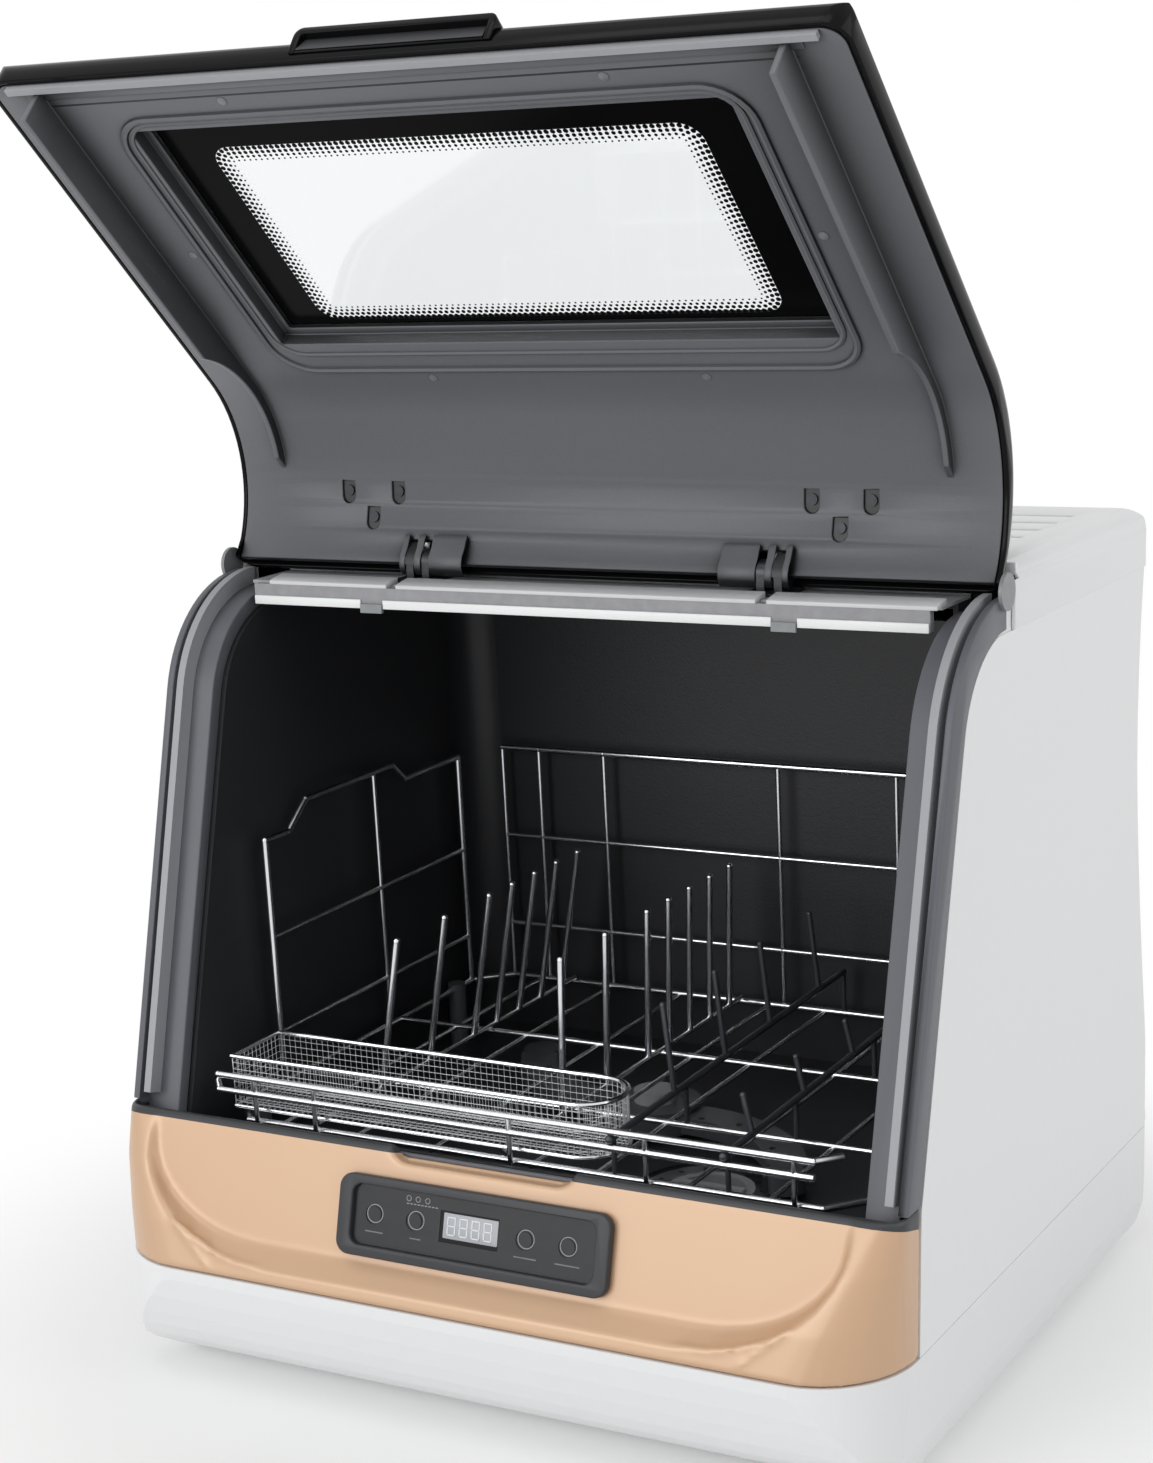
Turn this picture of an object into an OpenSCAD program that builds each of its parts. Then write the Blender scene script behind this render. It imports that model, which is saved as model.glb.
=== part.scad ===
// Countertop dishwasher with a top-hinged lid, shown with the lid open.
// Millimetres. +Z is up, the front faces -Y, and the origin is on the floor
// under the middle of the machine. Inside the modules Y is measured from the
// foot of the front panel towards the back.

/* [Body] */
// Outside width of the body
body_w = 420; // [400:1:460]
// Depth from the foot of the front panel to the back of the base
body_d = 375; // [368:1:400]
// Height of the top cover above the floor
body_h = 401; // [398:1:406]
// Height of the seam between the base and the panels
base_h = 68; // [64:1:72]
// Height of the rubber feet
foot_h = 4; // [3:0.5:7]
// Radius of the rubber feet
foot_r = 12; // [8:1:16]
// Thickness of the moulded outer panels
panel_t = 2.5; // [2:0.1:3]
// How far the back panel bows in at its waist
waist_in = 28; // [20:1:30]
// Height of the waist of the back panel
waist_z = 275; // [250:5:290]
// Height of the lip that the top cover hangs over the panels
cover_lip = 29.5; // [28:0.5:32]
// Number of grooves across the top cover
groove_count = 6; // [3:1:7]

/* [Front] */
// Height of the top edge of the front panel
fascia_top = 138; // [136:0.5:139]
// Set-back of the top edge of the front panel from its foot
fascia_back = 29.5; // [27:0.5:31]
// Lean of the lid opening from the vertical, in degrees
lean = 15.9; // [15.5:0.1:16.3]
// Plain border at each side of the pressed-in face
face_border = 22; // [18:1:30]
// Half width of the finger recess and of the handle
grip_half = 49; // [40:1:55]
// Half width of the control panel
control_half = 73.5; // [66:0.5:80]
// Height of the control panel along the leaning face
control_h = 39; // [36:0.5:40]
// Height of the rim round the control panel
bezel_t = 4.6; // [3:0.2:5]

/* [Opening] */
// Height of the hinge axis
hinge_z = 394; // [393:0.5:395]
// Distance of the hinge axis from the foot of the front panel
hinge_y = 163; // [162:0.5:164]
// Distance of the rim of the opening in front of the hinge axis
rim_v = 50; // [49.5:0.1:50.5]
// Radius of the bend at the top of the rim
rim_r = 69; // [67:0.5:70]
// Depth of the frame that carries the rim
frame_depth = 15; // [13:0.5:16]
// Width of each upright of the frame
upright_w = 23; // [20:0.5:24]

/* [Lid] */
// Angle through which the lid opens, in degrees
lid_open = 118.7; // [112:0.1:122]
// Gap between the lid liner and the rim when shut
seal_gap = 3; // [2.5:0.1:4]
// Thickness of the lid from liner to outer face
lid_t = 15.5; // [15:0.5:18]
// Length of the lid from the hinge axis to its free end
lid_len = 278.5; // [276:0.5:279]
// Distance from each side of the body to the edge of the lid
lid_border = 2; // [1:0.5:5]
// Half width of the window recess
window_half = 147; // [120:1:155]
// Distance of the near edge of the window recess from the hinge
window_near = 101; // [95:1:110]
// Distance of the far edge of the window recess from the hinge
window_far = 244; // [225:1:250]
// Thickness of the window glass
glass_t = 3.5; // [3:0.1:4]
// Height of the splash ribs above the liner
rib_h = 17; // [12:0.5:18]

/* [Racks] */
// Gap between the dish rack and the tub wall
rack_gap = 8.5; // [7.5:0.5:12]
// Height of the rack floor
rack_z = 125; // [123:0.5:127]
// Radius of the heavy rack wires
wire_r = 1.8; // [1.4:0.1:2.2]
// Radius of the light rack wires
thin_r = 1.3; // [1:0.1:1.5]
// Height of the plate tines
tine_h = 83; // [70:1:90]
// Spacing of the plate tines at the back
tine_pitch = 24; // [22:0.5:25]
// Width of the cutlery basket as a share of half the rack
basket_share = 1.21; // [1.08:0.01:1.22]
// Depth of the cutlery basket
basket_d = 40; // [34:1:41]
// Height of the cutlery basket
basket_h = 27; // [24:1:30]

/* [Wash system] */
// Distance from each side of the body to the inside of the tub
tub_gap = 25.5; // [24:0.5:27]
// Height of the tub floor
tub_floor = 92; // [90:0.5:93]
// Thickness of the tub wall
tub_t = 2.5; // [2:0.1:3]
// Distance from the back of the base to the back wall of the tub
back_gap = 37; // [35:0.5:39]
// Length of one blade of the spray arm
arm_r = 130; // [110:1:132]
// Radius of the spindle that carries the spray arm
spindle_r = 6; // [4:0.5:7]
// Radius of the sump bowl
sump_r = 36; // [32:0.5:38]
// Radius of the wash pump
pump_r = 26; // [20:1:28]

/* [Fits] */
// Radial running clearance of shafts and pins
run_gap = 0.06; // [0.04:0.01:0.09]
// Seat clearance between separate mouldings
seat_gap = 0.3; // [0.2:0.05:0.4]

/* [Hidden] */
$fn = 64;

half_w = body_w / 2;
face_half = half_w - face_border;
frame_inner = half_w - upright_w;
lid_half = half_w - lid_border;
tub_half = half_w - tub_gap;
tub_back = body_d - back_gap;
rack_half = tub_half - rack_gap;
rack_far = tub_back - 10;
rack_near = 60;
basket_w = basket_share * rack_half;
basket_x = -rack_half + 9;
over = 1;
seam_z = base_h + seat_gap;
front_corner = 45;
rear_corner = 12;
under_z = 1.5;
curve_top = 62;
curve_back = 58;
tilt = 90 - lean;
open_tilt = tilt - lid_open;
bend_u = 73;
bend_v = rim_v - rim_r;
bend_y = hinge_y - bend_u * cos(tilt) - bend_v * sin(tilt);
bend_z = hinge_z - bend_u * sin(tilt) + bend_v * cos(tilt);
step_back = 7.5;
liner_v = rim_v + seal_gap;
liner_r = rim_r + seal_gap;
skin_v = liner_v + lid_t;
skin_r = 80;
skin_bend_v = skin_v - skin_r;
end_v = -3;
frame_outer = half_w - 4;
sill_y = 50;
sill_z = 127;
ceiling = 381;
ledge_z = 385;
cover_front = 178;
cover_side = half_w + 1.5;
cover_rear = body_d - 11;
cover_edge = 15;
arm_y = 202;
arm_z = 98;
sump_x = 62;
sump_y = 140;
cup_r = 20;
pump_x = 104;
pump_z = 44;
pump_len = 46;
drain_r = 18;
drain_x = 14;
drain_len = 40;
fan_x = half_w - 75;
fan_y = body_d - 75;
fan_r = 30;
recess_lo = -half_w + 35;
recess_hi = recess_lo + 120;
recess_deep = 18;
inlet_x = recess_hi - 21;
outlet_x = recess_lo + 57;
mains_x = recess_lo + 23;
board_x = -half_w + 32;
plug_z = 38;
arm_x = 96;
grip_x = 5;
arm_reach = 54.5;
clip_x = 112;
pin_r = 3;
knuckle_r = 6;
screw_r = 1.5;
pocket_deep = 1.5;
glass_v = skin_v - panel_t - glass_t;

// Distance of the back panel from the foot of the front panel at height z
function back_y(z) = z < waist_z
  ? body_d - waist_in + (waist_in - 1) * pow((waist_z - z) / (waist_z - base_h), 1.5)
  : body_d - waist_in + 8 * pow((z - waist_z) / (body_h - 34 - waist_z), 2);

// Place across the rack that keeps its share of the rack's width
function across(x) = x * rack_half / 176;

// Place along the rack that keeps its share of the rack's depth
function along(y) = rack_near + (y - 60) * (rack_far - rack_near) / 268;

// Moves a module into the frame of the whole machine
module placed() {
  translate([0, -body_d / 2, 0]) children();
}

// Turns a drawing in (y, z) into a bar between two x values
module bar_x(lo, hi) {
  translate([lo, 0, 0]) rotate([90, 0, 90]) linear_extrude(hi - lo) children();
}

// Turns a drawing in (x, z) into a bar between two y values
module bar_y(lo, hi) {
  translate([0, hi, 0]) rotate([90, 0, 0]) linear_extrude(hi - lo) children();
}

// Block between two corners
module block(lo, hi) {
  translate(lo) cube(hi - lo);
}

// Round rod between two points
module rod(a, b, r) {
  d = b - a;
  translate(a) rotate([0, acos(d.z / norm(d)), atan2(d.y, d.x)]) cylinder(h = norm(d), r = r);
}

// Rod that follows a list of points, rounded at each one
module path(points, r) {
  for (i = [0:len(points) - 2]) {
    rod(points[i], points[i + 1], r);
  }
  for (i = [1:len(points) - 2]) {
    translate(points[i]) sphere(r + 0.06);
  }
}

// Level hose through a list of points, with each ball turned to the stretch before it
module hose(points, r) {
  for (i = [0:len(points) - 2]) {
    rod(points[i], points[i + 1], r);
  }
  for (i = [1:len(points) - 2]) {
    d = points[i] - points[i - 1];
    translate(points[i]) rotate([0, 90, atan2(d.y, d.x)]) sphere(r + 0.06);
  }
}

// Rod that goes round a ring of points
module closed_path(points, r) {
  for (i = [0:len(points) - 1]) {
    rod(points[i], points[(i + 1) % len(points)], r);
    translate(points[i]) sphere(r + 0.06);
  }
}

// Rectangle with round corners, centred across x
module round_plate(half, lo, hi, r) {
  translate([-half + r, lo]) square([2 * (half - r), hi - lo]);
  translate([-half, lo + r]) square([2 * half, hi - lo - 2 * r]);
  for (x = [-half + r, half - r], y = [lo + r, hi - r]) {
    translate([x, y]) circle(r);
  }
}

// Outline of the body seen from above
module plan(inset) {
  translate([-half_w + inset, front_corner]) {
    square([body_w - 2 * inset, body_d - front_corner - rear_corner]);
  }
  translate([-half_w + front_corner, inset]) {
    square([body_w - 2 * front_corner, front_corner]);
  }
  translate([-half_w + rear_corner, body_d / 2]) {
    square([body_w - 2 * rear_corner, body_d / 2 - inset]);
  }
  for (side = [-1, 1]) {
    translate([side * (half_w - front_corner), front_corner]) circle(front_corner - inset);
    translate([side * (half_w - rear_corner), body_d - rear_corner]) circle(rear_corner - inset);
  }
}

// Outer form of the base, moved in by an inset
module base_form(inset, top) {
  low = under_z + inset;
  intersection() {
    translate([0, 0, low]) linear_extrude(top - low) plan(inset);
    bar_x(-half_w, half_w) polygon(concat(
      [[inset, top], [body_d - inset, top], [body_d - inset, curve_top],
       [body_d - 2 - inset, 22], [body_d - 6 - inset, 12], [body_d - 14 - inset, 5.5],
       [body_d - 20 - inset, low]],
      [for (k = [8:-1:0]) [
        inset + curve_back * pow(1 - cos(k * 90 / 8), 0.75),
        curve_top + inset - (curve_top - under_z) * sin(k * 90 / 8)]]));
    bar_y(0, body_d) polygon([
      [half_w - inset, top], [half_w - inset, curve_top], [half_w - 2 - inset, 25],
      [half_w - 6 - inset, 10 + inset], [half_w - 12 - inset, 4 + inset],
      [half_w - 16 - inset, low], [-half_w + 16 + inset, low],
      [-half_w + 12 + inset, 4 + inset], [-half_w + 6 + inset, 10 + inset],
      [-half_w + 2 + inset, 25], [-half_w + inset, curve_top], [-half_w + inset, top]]);
  }
}

// Places of the feet
function foot_spots() = [for (x = [-half_w + 60, half_w - 60], y = [92, body_d - 47]) [x, y, 0]];

module base_tray() {
  color("gainsboro") placed() difference() {
    union() {
      difference() {
        base_form(0, base_h);
        base_form(panel_t, base_h + over);
      }
      intersection() {
        base_form(0.5, base_h);
        union() {
          for (p = foot_spots()) {
            translate(p) cylinder(h = foot_h + panel_t, r = foot_r + 3);
          }
          block([recess_lo - 2.5, body_d - recess_deep - 2.5, 9.5],
            [recess_hi + 2.5, body_d - 1, base_h - 2]);
          block([pump_x + 8, sump_y - 12, 3], [pump_x + pump_len - 8, sump_y + 12, pump_z - pump_r + 3]);
          block([drain_x - drain_len + 8, sump_y - 8, 3], [drain_x - 8, sump_y + 8, plug_z - drain_r + 2]);
          block([inlet_x - 8, body_d - 52, 3], [inlet_x + 8, body_d - 30, plug_z - 14]);
          for (a = [45:90:315]) {
            translate([fan_x + (fan_r + 2) * cos(a), fan_y + (fan_r + 2) * sin(a), 3]) {
              cylinder(h = 52, r = 4);
            }
          }
          for (x = [board_x + 6, board_x + 70], y = [92, 168]) {
            translate([x, y, 3]) cylinder(h = 12, r = 4);
          }
        }
      }
    }
    for (p = foot_spots()) {
      translate(p) cylinder(h = foot_h, r = foot_r + 0.2);
    }
    block([recess_lo, body_d - recess_deep, 12], [recess_hi, body_d + over, base_h - 5]);
    translate([0, 0, plug_z]) {
      for (p = [[inlet_x, 13.2], [outlet_x, 9.2], [mains_x, 8.2]]) {
        rod([p[0], body_d - recess_deep - 4, 0], [p[0], body_d - recess_deep + over, 0], p[1]);
      }
    }
    translate([0, 0, pump_z]) {
      rod([pump_x - over, sump_y, 0], [pump_x + pump_len + over, sump_y, 0], pump_r);
    }
    translate([0, 0, plug_z]) {
      rod([drain_x - drain_len - over, sump_y, 0], [drain_x + over, sump_y, 0], drain_r);
    }
    for (k = [-3:3]) {
      block([fan_x - 20, fan_y + k * 8 - 2, 0], [fan_x + 20, fan_y + k * 8 + 2, 10]);
    }
  }
}

module feet() {
  color("dimgray") placed() for (p = foot_spots()) {
    translate(p) {
      cylinder(h = foot_h, r = foot_r);
    }
  }
}

// Everything behind the rim of the opening, drawn in (y, z)
module behind_rim(inset) {
  translate([hinge_y, hinge_z]) rotate(tilt) {
    translate([-460, -400]) square([460 - bend_u, 400 + rim_v - inset]);
    translate([-bend_u, bend_v]) circle(rim_r - inset);
  }
  translate([bend_y, 0]) square([300, body_h]);
}

// Outline of a side panel in (y, z)
module side_outline() {
  intersection() {
    behind_rim(frame_depth + seat_gap);
    polygon(concat(
      [[49, seam_z], [53.4, fascia_top], [53.4, fascia_top + over], [90, body_h - cover_lip - seat_gap]],
      [[body_d - 24, body_h - cover_lip - seat_gap]],
      [for (k = [12:-1:0]) [
        back_y(seam_z + k * (body_h - cover_lip - seat_gap - seam_z) / 12),
        seam_z + k * (body_h - cover_lip - seat_gap - seam_z) / 12]]));
  }
}

module side_panel(side) {
  intersection() {
    bar_x(side > 0 ? half_w - panel_t : -half_w, side > 0 ? half_w : -half_w + panel_t) {
      side_outline();
    }
    linear_extrude(body_h) plan(0);
  }
}

module side_panel_left() {
  color("gainsboro") placed() side_panel(-1);
}

module side_panel_right() {
  color("gainsboro") placed() side_panel(1);
}

// Band that follows the bow of the back panel
module back_band(near, far) {
  top = body_h - cover_lip - seat_gap;
  polygon(concat(
    [for (k = [0:12]) [
      back_y(seam_z + k * (top - seam_z) / 12) - near, seam_z + k * (top - seam_z) / 12]],
    [for (k = [12:-1:0]) [
      back_y(seam_z + k * (top - seam_z) / 12) - far, seam_z + k * (top - seam_z) / 12]]));
}

// Places of the case screws
function case_spots() = [for (x = [-half_w + 25, 0, half_w - 25], z = [82, 350]) [x, back_y(z), z]];

module rear_panel() {
  color("gainsboro") placed() difference() {
    bar_x(-half_w + panel_t, half_w - panel_t) back_band(0, panel_t);
    for (p = case_spots()) {
      rod(p - [0, 8, 0], p + [0, 8, 0], screw_r + 0.2);
    }
    for (k = [0:6]) {
      block([60, body_d - 30, 96 + k * 7], [150, body_d + over, 99 + k * 7]);
    }
  }
}

module case_screws() {
  color("silver") placed() for (p = case_spots()) {
    rod(p - [0, 7, 0], p + [0, 0.9, 0], screw_r);
    rod(p + [0, 0.9, 0], p + [0, 2.3, 0], 3.2);
  }
}

// Outer form of the top cover, moved in by an inset
module cover_form(inset, low) {
  high = body_h - inset;
  r = cover_edge - inset;
  intersection() {
    translate([0, 0, low]) linear_extrude(high - low) {
      translate([-cover_side + inset, 120]) {
        square([2 * (cover_side - inset), cover_rear - 120 - rear_corner]);
      }
      translate([-cover_side + rear_corner, 200]) {
        square([2 * (cover_side - rear_corner), cover_rear - 200 - inset]);
      }
      for (side = [-1, 1]) {
        translate([side * (cover_side - rear_corner), cover_rear - rear_corner]) {
          circle(rear_corner - inset);
        }
      }
    }
    bar_y(120, cover_rear) {
      translate([-cover_side + inset, low]) square([2 * (cover_side - inset), high - r - low]);
      translate([-cover_side + inset + r, low]) square([2 * (cover_side - inset - r), high - low]);
      for (side = [-1, 1]) {
        translate([side * (cover_side - inset - r), high - r]) circle(r);
      }
    }
    bar_x(-cover_side, cover_side) {
      translate([100, low]) square([cover_rear - 100 - inset - r, high - low]);
      translate([100, low]) square([cover_rear - 100 - inset, high - r - low]);
      translate([cover_rear - inset - r, high - r]) circle(r);
    }
  }
}

module top_cover() {
  lip = body_h - cover_lip;
  color("gainsboro") placed() difference() {
    union() {
      difference() {
        cover_form(0, lip);
        cover_form(panel_t, lip - over);
      }
      block([-half_w + 2, cover_front, ledge_z + 0.2], [half_w - 2, cover_front + panel_t, body_h - 1]);
    }
    block([-cover_side - over, 100, lip - over], [cover_side + over, 168, body_h + over]);
    block([-half_w + 0.5, 100, lip - over], [half_w - 0.5, cover_front, body_h + over]);
    for (k = [1:groove_count]) {
      translate([0, cover_front + 20 + (k - 1) * 24, body_h + 0.6]) {
        rod([-half_w + 26, 0, 0], [half_w - 26, 0, 0], 2.2);
        translate([-half_w + 26, 0, 0]) sphere(2.2);
        translate([half_w - 26, 0, 0]) sphere(2.2);
      }
    }
  }
}

// Puts a drawing onto the leaning face, with y up the face and z out of it
module on_face() {
  translate([0, fascia_back, fascia_top]) rotate([tilt, 0, 0]) children();
}

// Levels of the front panel: height, set-back, corner radius and back edge
function fascia_levels() = [
  [seam_z, 0, front_corner, 48.6],
  [90, fascia_back * 0.2, 36, 50],
  [115, fascia_back * 0.56, 22, 51.7],
  [fascia_top, fascia_back, 11, 53]];

// Outer form of the front panel
module fascia_form() {
  hull() {
    for (p = fascia_levels()) {
      low = p[0] == seam_z ? p[0] : p[0] - 0.2;
      for (side = [-1, 1]) {
        translate([side * (half_w - p[2]), p[1] + p[2], low]) {
          cylinder(h = 0.2, r = p[2], $fn = 32);
        }
        translate([side * (half_w - 1) - 1, p[3] - 1, low]) {
          cube([2, 1, 0.2]);
        }
      }
    }
  }
}

// Half of the smile-shaped outline of the pressed-in face
function smile(half, across, down, straight) = concat(
  [[half, 12], [half, -straight]],
  [for (k = [1:8]) [
    half - across + across * cos(k * 90 / 8), -straight - down * sin(k * 90 / 8)]]);

module smile_plate(half, across, down, straight) {
  right = smile(half, across, down, straight);
  polygon(concat(right, [for (k = [len(right) - 1:-1:0]) [-right[k][0], right[k][1]]]));
}

module front_fascia() {
  color("rosybrown") placed() difference() {
    fascia_form();
    difference() {
      intersection() {
        on_face() translate([-half_w + 20, -120, -60 - panel_t]) cube([body_w - 40, 130, 60]);
        block([-half_w + 20, 0, seam_z - over], [half_w - 20, 70, fascia_top - panel_t]);
      }
      on_face() translate([-grip_half - 4, -12, -8.2]) cube([2 * grip_half + 8, 24, 12]);
      on_face() for (x = [-56, 56], y = [-48, -22]) {
        translate([x, y, -8.4]) cylinder(h = 8, r = 3);
      }
    }
    on_face() {
      hull() {
        linear_extrude(0.1) smile_plate(face_half, 68, 46, 11);
        translate([0, 0, 9.3]) linear_extrude(0.1) smile_plate(face_half + 1, 77, 55.5, 12);
      }
      translate([0, 0, 9.35]) linear_extrude(20) smile_plate(face_half + 1.1, 77, 55.5, 12);
      translate([0, 0, -5.5]) linear_extrude(20) polygon([
        [grip_half, 5], [grip_half, -1.5], [grip_half - 3, -5], [grip_half - 8, -6.6],
        [-grip_half + 8, -6.6], [-grip_half + 3, -5], [-grip_half, -1.5], [-grip_half, 5]]);
    }
    block([-frame_outer - seat_gap, 34.5, fascia_top - 24], [frame_outer + seat_gap, 60, fascia_top + over]);
    bar_x(-half_w - over, half_w + over) polygon([[48.1, 60], [53.4, 145], [200, 145], [200, 60]]);
  }
}

module control_bezel() {
  color("gray") placed() on_face() difference() {
    linear_extrude(bezel_t) round_plate(control_half, -14.5 - control_h, -14.5, 7);
    translate([0, 0, -over]) linear_extrude(bezel_t + 2 * over) {
      round_plate(control_half - 7.5, -14.5 - control_h + 5.5, -14.5 - 4.5, 5);
    }
  }
}

module control_overlay() {
  color("black") placed() on_face() difference() {
    linear_extrude(1.6) {
      round_plate(control_half - 7.6, -14.5 - control_h + 5.6, -14.5 - 4.6, 5);
    }
    translate([-18, -40.5, -over]) cube([32, 15, 4]);
    for (x = [-54.5, -32, 28, 50.7]) {
      translate([x, -33, 1.2]) difference() {
        cylinder(h = 2, r = 4.8);
        translate([0, 0, -over]) cylinder(h = 4, r = 3.8);
      }
    }
  }
}

module display_window() {
  color("darkslategray") placed() on_face() translate([-17.9, -40.4, 0]) cube([31.8, 14.8, 1.4]);
}

module control_board() {
  color("darkgreen") placed() on_face() union() {
    translate([-62, -50, -10]) cube([124, 31, 1.6]);
    translate([-17, -40, -8.4]) cube([30, 14, 3]);
    translate([30, -30, -14]) cube([14, 8, 4]);
  }
}

module touch_springs() {
  color("silver") placed() on_face() for (x = [-48, -32, 28, 48]) {
    translate([x, -33, -8.4]) cylinder(h = 8.4 - panel_t, r = 2.5);
  }
}

// Puts a lid drawing in its shut place over the opening
module at_rim() {
  translate([0, hinge_y, hinge_z]) rotate([tilt, 0, 0]) children();
}

// Bar that follows the rim between two depths, from the sill to the top
module rim_band(lo, hi, outer, inner, down) {
  bar_x(lo, hi) {
    translate([-down, rim_v - inner]) square([down - bend_u, inner - outer]);
    intersection() {
      translate([-bend_u, bend_v]) difference() {
        circle(rim_r - outer);
        circle(rim_r - inner);
      }
      translate([-bend_u, bend_v]) polygon([
        [0, 0], [150 * cos(lean), 150 * sin(lean)], [150, 150], [0, 150]]);
    }
  }
}

module front_frame() {
  color("dimgray") placed() difference() {
    union() {
      at_rim() for (side = [-1, 1]) {
        mirror([side < 0 ? 1 : 0, 0, 0]) {
          rim_band(frame_outer, half_w, 0, frame_depth, 282);
          rim_band(frame_inner, frame_outer, step_back, frame_depth, 288);
        }
      }
      bar_x(-frame_outer, frame_outer) polygon([
        [34.8, fascia_top - 14], [34.8, fascia_top - 4.5], [38, fascia_top - 5.5],
        [sill_y - 0.2, sill_z], [sill_y - 0.2, fascia_top - 22], [38, fascia_top - 22]]);
    }
    for (side = [-1, 1]) {
      block([side > 0 ? frame_outer : -half_w - over, 20, 90],
        [side > 0 ? half_w + over : -frame_outer, 70, fascia_top + 0.3]);
    }
    block([-frame_outer - over, 20, 90], [frame_outer + over, 34.8, 200]);
  }
}

module frame_gasket() {
  color("darkgray") placed() at_rim() for (side = [-1, 1]) {
    mirror([side < 0 ? 1 : 0, 0, 0]) {
      rim_band(half_w - 11, half_w - 7, -1, step_back, 276);
    }
  }
}

// Outline of the tub from the side, grown by a thickness
module tub_side(grow) {
  intersection() {
    union() {
      behind_rim(frame_depth);
      if (grow == 0) {
        behind_rim(-20);
      }
    }
    union() {
      translate([sill_y + tub_t - grow, tub_floor - grow]) {
        square([tub_back - sill_y - tub_t + 2 * grow, ceiling - tub_floor + 2 * grow]);
      }
      if (grow == 0) {
        translate([20, sill_z + 0.5]) square([120, 300]);
      }
    }
    if (grow == 0) {
      union() {
        translate([0, sill_z + 0.5]) square([143, 300]);
        translate([sill_y + tub_t, 0]) square([400, ceiling]);
      }
    }
  }
}

// Outline of the tub seen from above, grown by a thickness
module tub_plan(grow, near) {
  translate([-tub_half - grow, near]) {
    square([2 * (tub_half + grow), tub_back - near - 20]);
  }
  translate([-tub_half + 20, near]) {
    square([2 * (tub_half - 20), tub_back - near + grow]);
  }
  for (side = [-1, 1]) {
    translate([side * (tub_half - 20), tub_back - 20]) circle(20 + grow);
  }
}

module tub() {
  color("black") placed() difference() {
    union() {
      intersection() {
        translate([0, 0, 60]) linear_extrude(400) tub_plan(tub_t, 40);
        bar_x(-half_w, half_w) intersection() {
          tub_side(tub_t);
          union() {
            translate([sill_y, 0]) square([400, 500]);
          }
        }
      }
      intersection() {
        at_rim() for (side = [-1, 1]) {
          mirror([side < 0 ? 1 : 0, 0, 0]) {
            rim_band(tub_half, frame_outer - 2, frame_depth, frame_depth + tub_t, 286);
          }
        }
        block([-half_w, sill_y, 129], [half_w, bend_y, 500]);
      }
    }
    intersection() {
      translate([0, 0, 60]) linear_extrude(400) tub_plan(0, 20);
      bar_x(-half_w, half_w) tub_side(0);
    }
    translate([sump_x, sump_y, 60]) cylinder(h = 60, r = sump_r + 2.8);
    translate([0, arm_y, 60]) cylinder(h = 60, r = spindle_r + 0.1);
    for (k = [0:4]) {
      block([tub_half - over, fan_y - 10, 178 + k * 4], [tub_half + 15, fan_y + 10, 180 + k * 4]);
    }
  }
}

module top_rail() {
  color("silver") placed() union() {
    block([-frame_inner + seat_gap, 143, ceiling + tub_t], [frame_inner - seat_gap, cover_front - 0.2, ledge_z]);
    block([-frame_inner + seat_gap, cover_front - 2.4, ledge_z - 1],
      [frame_inner - seat_gap, cover_front - 0.2, ledge_z + 9]);
  }
}

module seal_strip() {
  half = tub_half - 1.7;
  color("white") placed() block([-half, 138.6, 374], [half, 142.8, ledge_z - 1]);
}

module strip_clips() {
  color("black") placed() for (side = [-1, 1]) {
    block([side * clip_x - 6.2, 136.6, 371.8], [side * clip_x + 6.2, 138.6, 376.2]);
  }
}

module hinge_bracket(side) {
  difference() {
    union() {
      for (x = [arm_x - 6.5, arm_x + 2.5]) {
        translate([side * (x + 2), 0, 0]) {
          bar_x(-2, 2) {
            translate([hinge_y, hinge_z]) circle(6.5);
            translate([hinge_y - 6.5, ledge_z]) square([13, hinge_z - ledge_z]);
          }
        }
      }
      block([side * arm_x - 11, hinge_y - 13, ledge_z], [side * arm_x + 11, hinge_y + 9, ledge_z + 1.5]);
    }
    rod([side * arm_x - 20, hinge_y, hinge_z], [side * arm_x + 20, hinge_y, hinge_z], pin_r);
  }
}

module hinge_bracket_left() {
  color("silver") placed() hinge_bracket(-1);
}

module hinge_bracket_right() {
  color("silver") placed() hinge_bracket(1);
}

module hinge_pins() {
  color("silver") placed() for (side = [-1, 1]) {
    rod([side * arm_x - 8, hinge_y, hinge_z], [side * arm_x + 8, hinge_y, hinge_z], pin_r);
  }
}

module hinge_end_caps() {
  color("silver") placed() for (side = [-1, 1]) {
    mirror([side < 0 ? 1 : 0, 0, 0]) {
      rod([half_w, hinge_y - 4, hinge_z - 4], [half_w + 1.8, hinge_y - 4, hinge_z - 4], 8.5);
    }
  }
}

module sump() {
  color("black") placed() difference() {
    union() {
      translate([sump_x, sump_y, 50]) cylinder(h = tub_floor - 51, r = sump_r + 2.5);
      translate([sump_x, sump_y, tub_floor - 5]) cylinder(h = 2.4, r = sump_r + 8);
    }
    translate([sump_x, sump_y, 53]) cylinder(h = 60, r = sump_r);
    rod([sump_x + sump_r - 6, sump_y, 60], [sump_x + sump_r + 9, sump_y, 60], 8);
    rod([sump_x - sump_r - 9, sump_y, 60], [sump_x - sump_r + 6, sump_y, 60], 6);
  }
}

module filter_plate() {
  color("silver") placed() difference() {
    translate([sump_x, sump_y, tub_floor - 2.6]) cylinder(h = 1.6, r = sump_r - 0.1);
    translate([sump_x, sump_y, 60]) cylinder(h = 60, r = cup_r + 0.3);
    for (a = [0:24:359], r = [25.5, 31]) {
      translate([sump_x + r * cos(a), sump_y + r * sin(a), 60]) cylinder(h = 60, r = 1.4);
    }
  }
}

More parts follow.
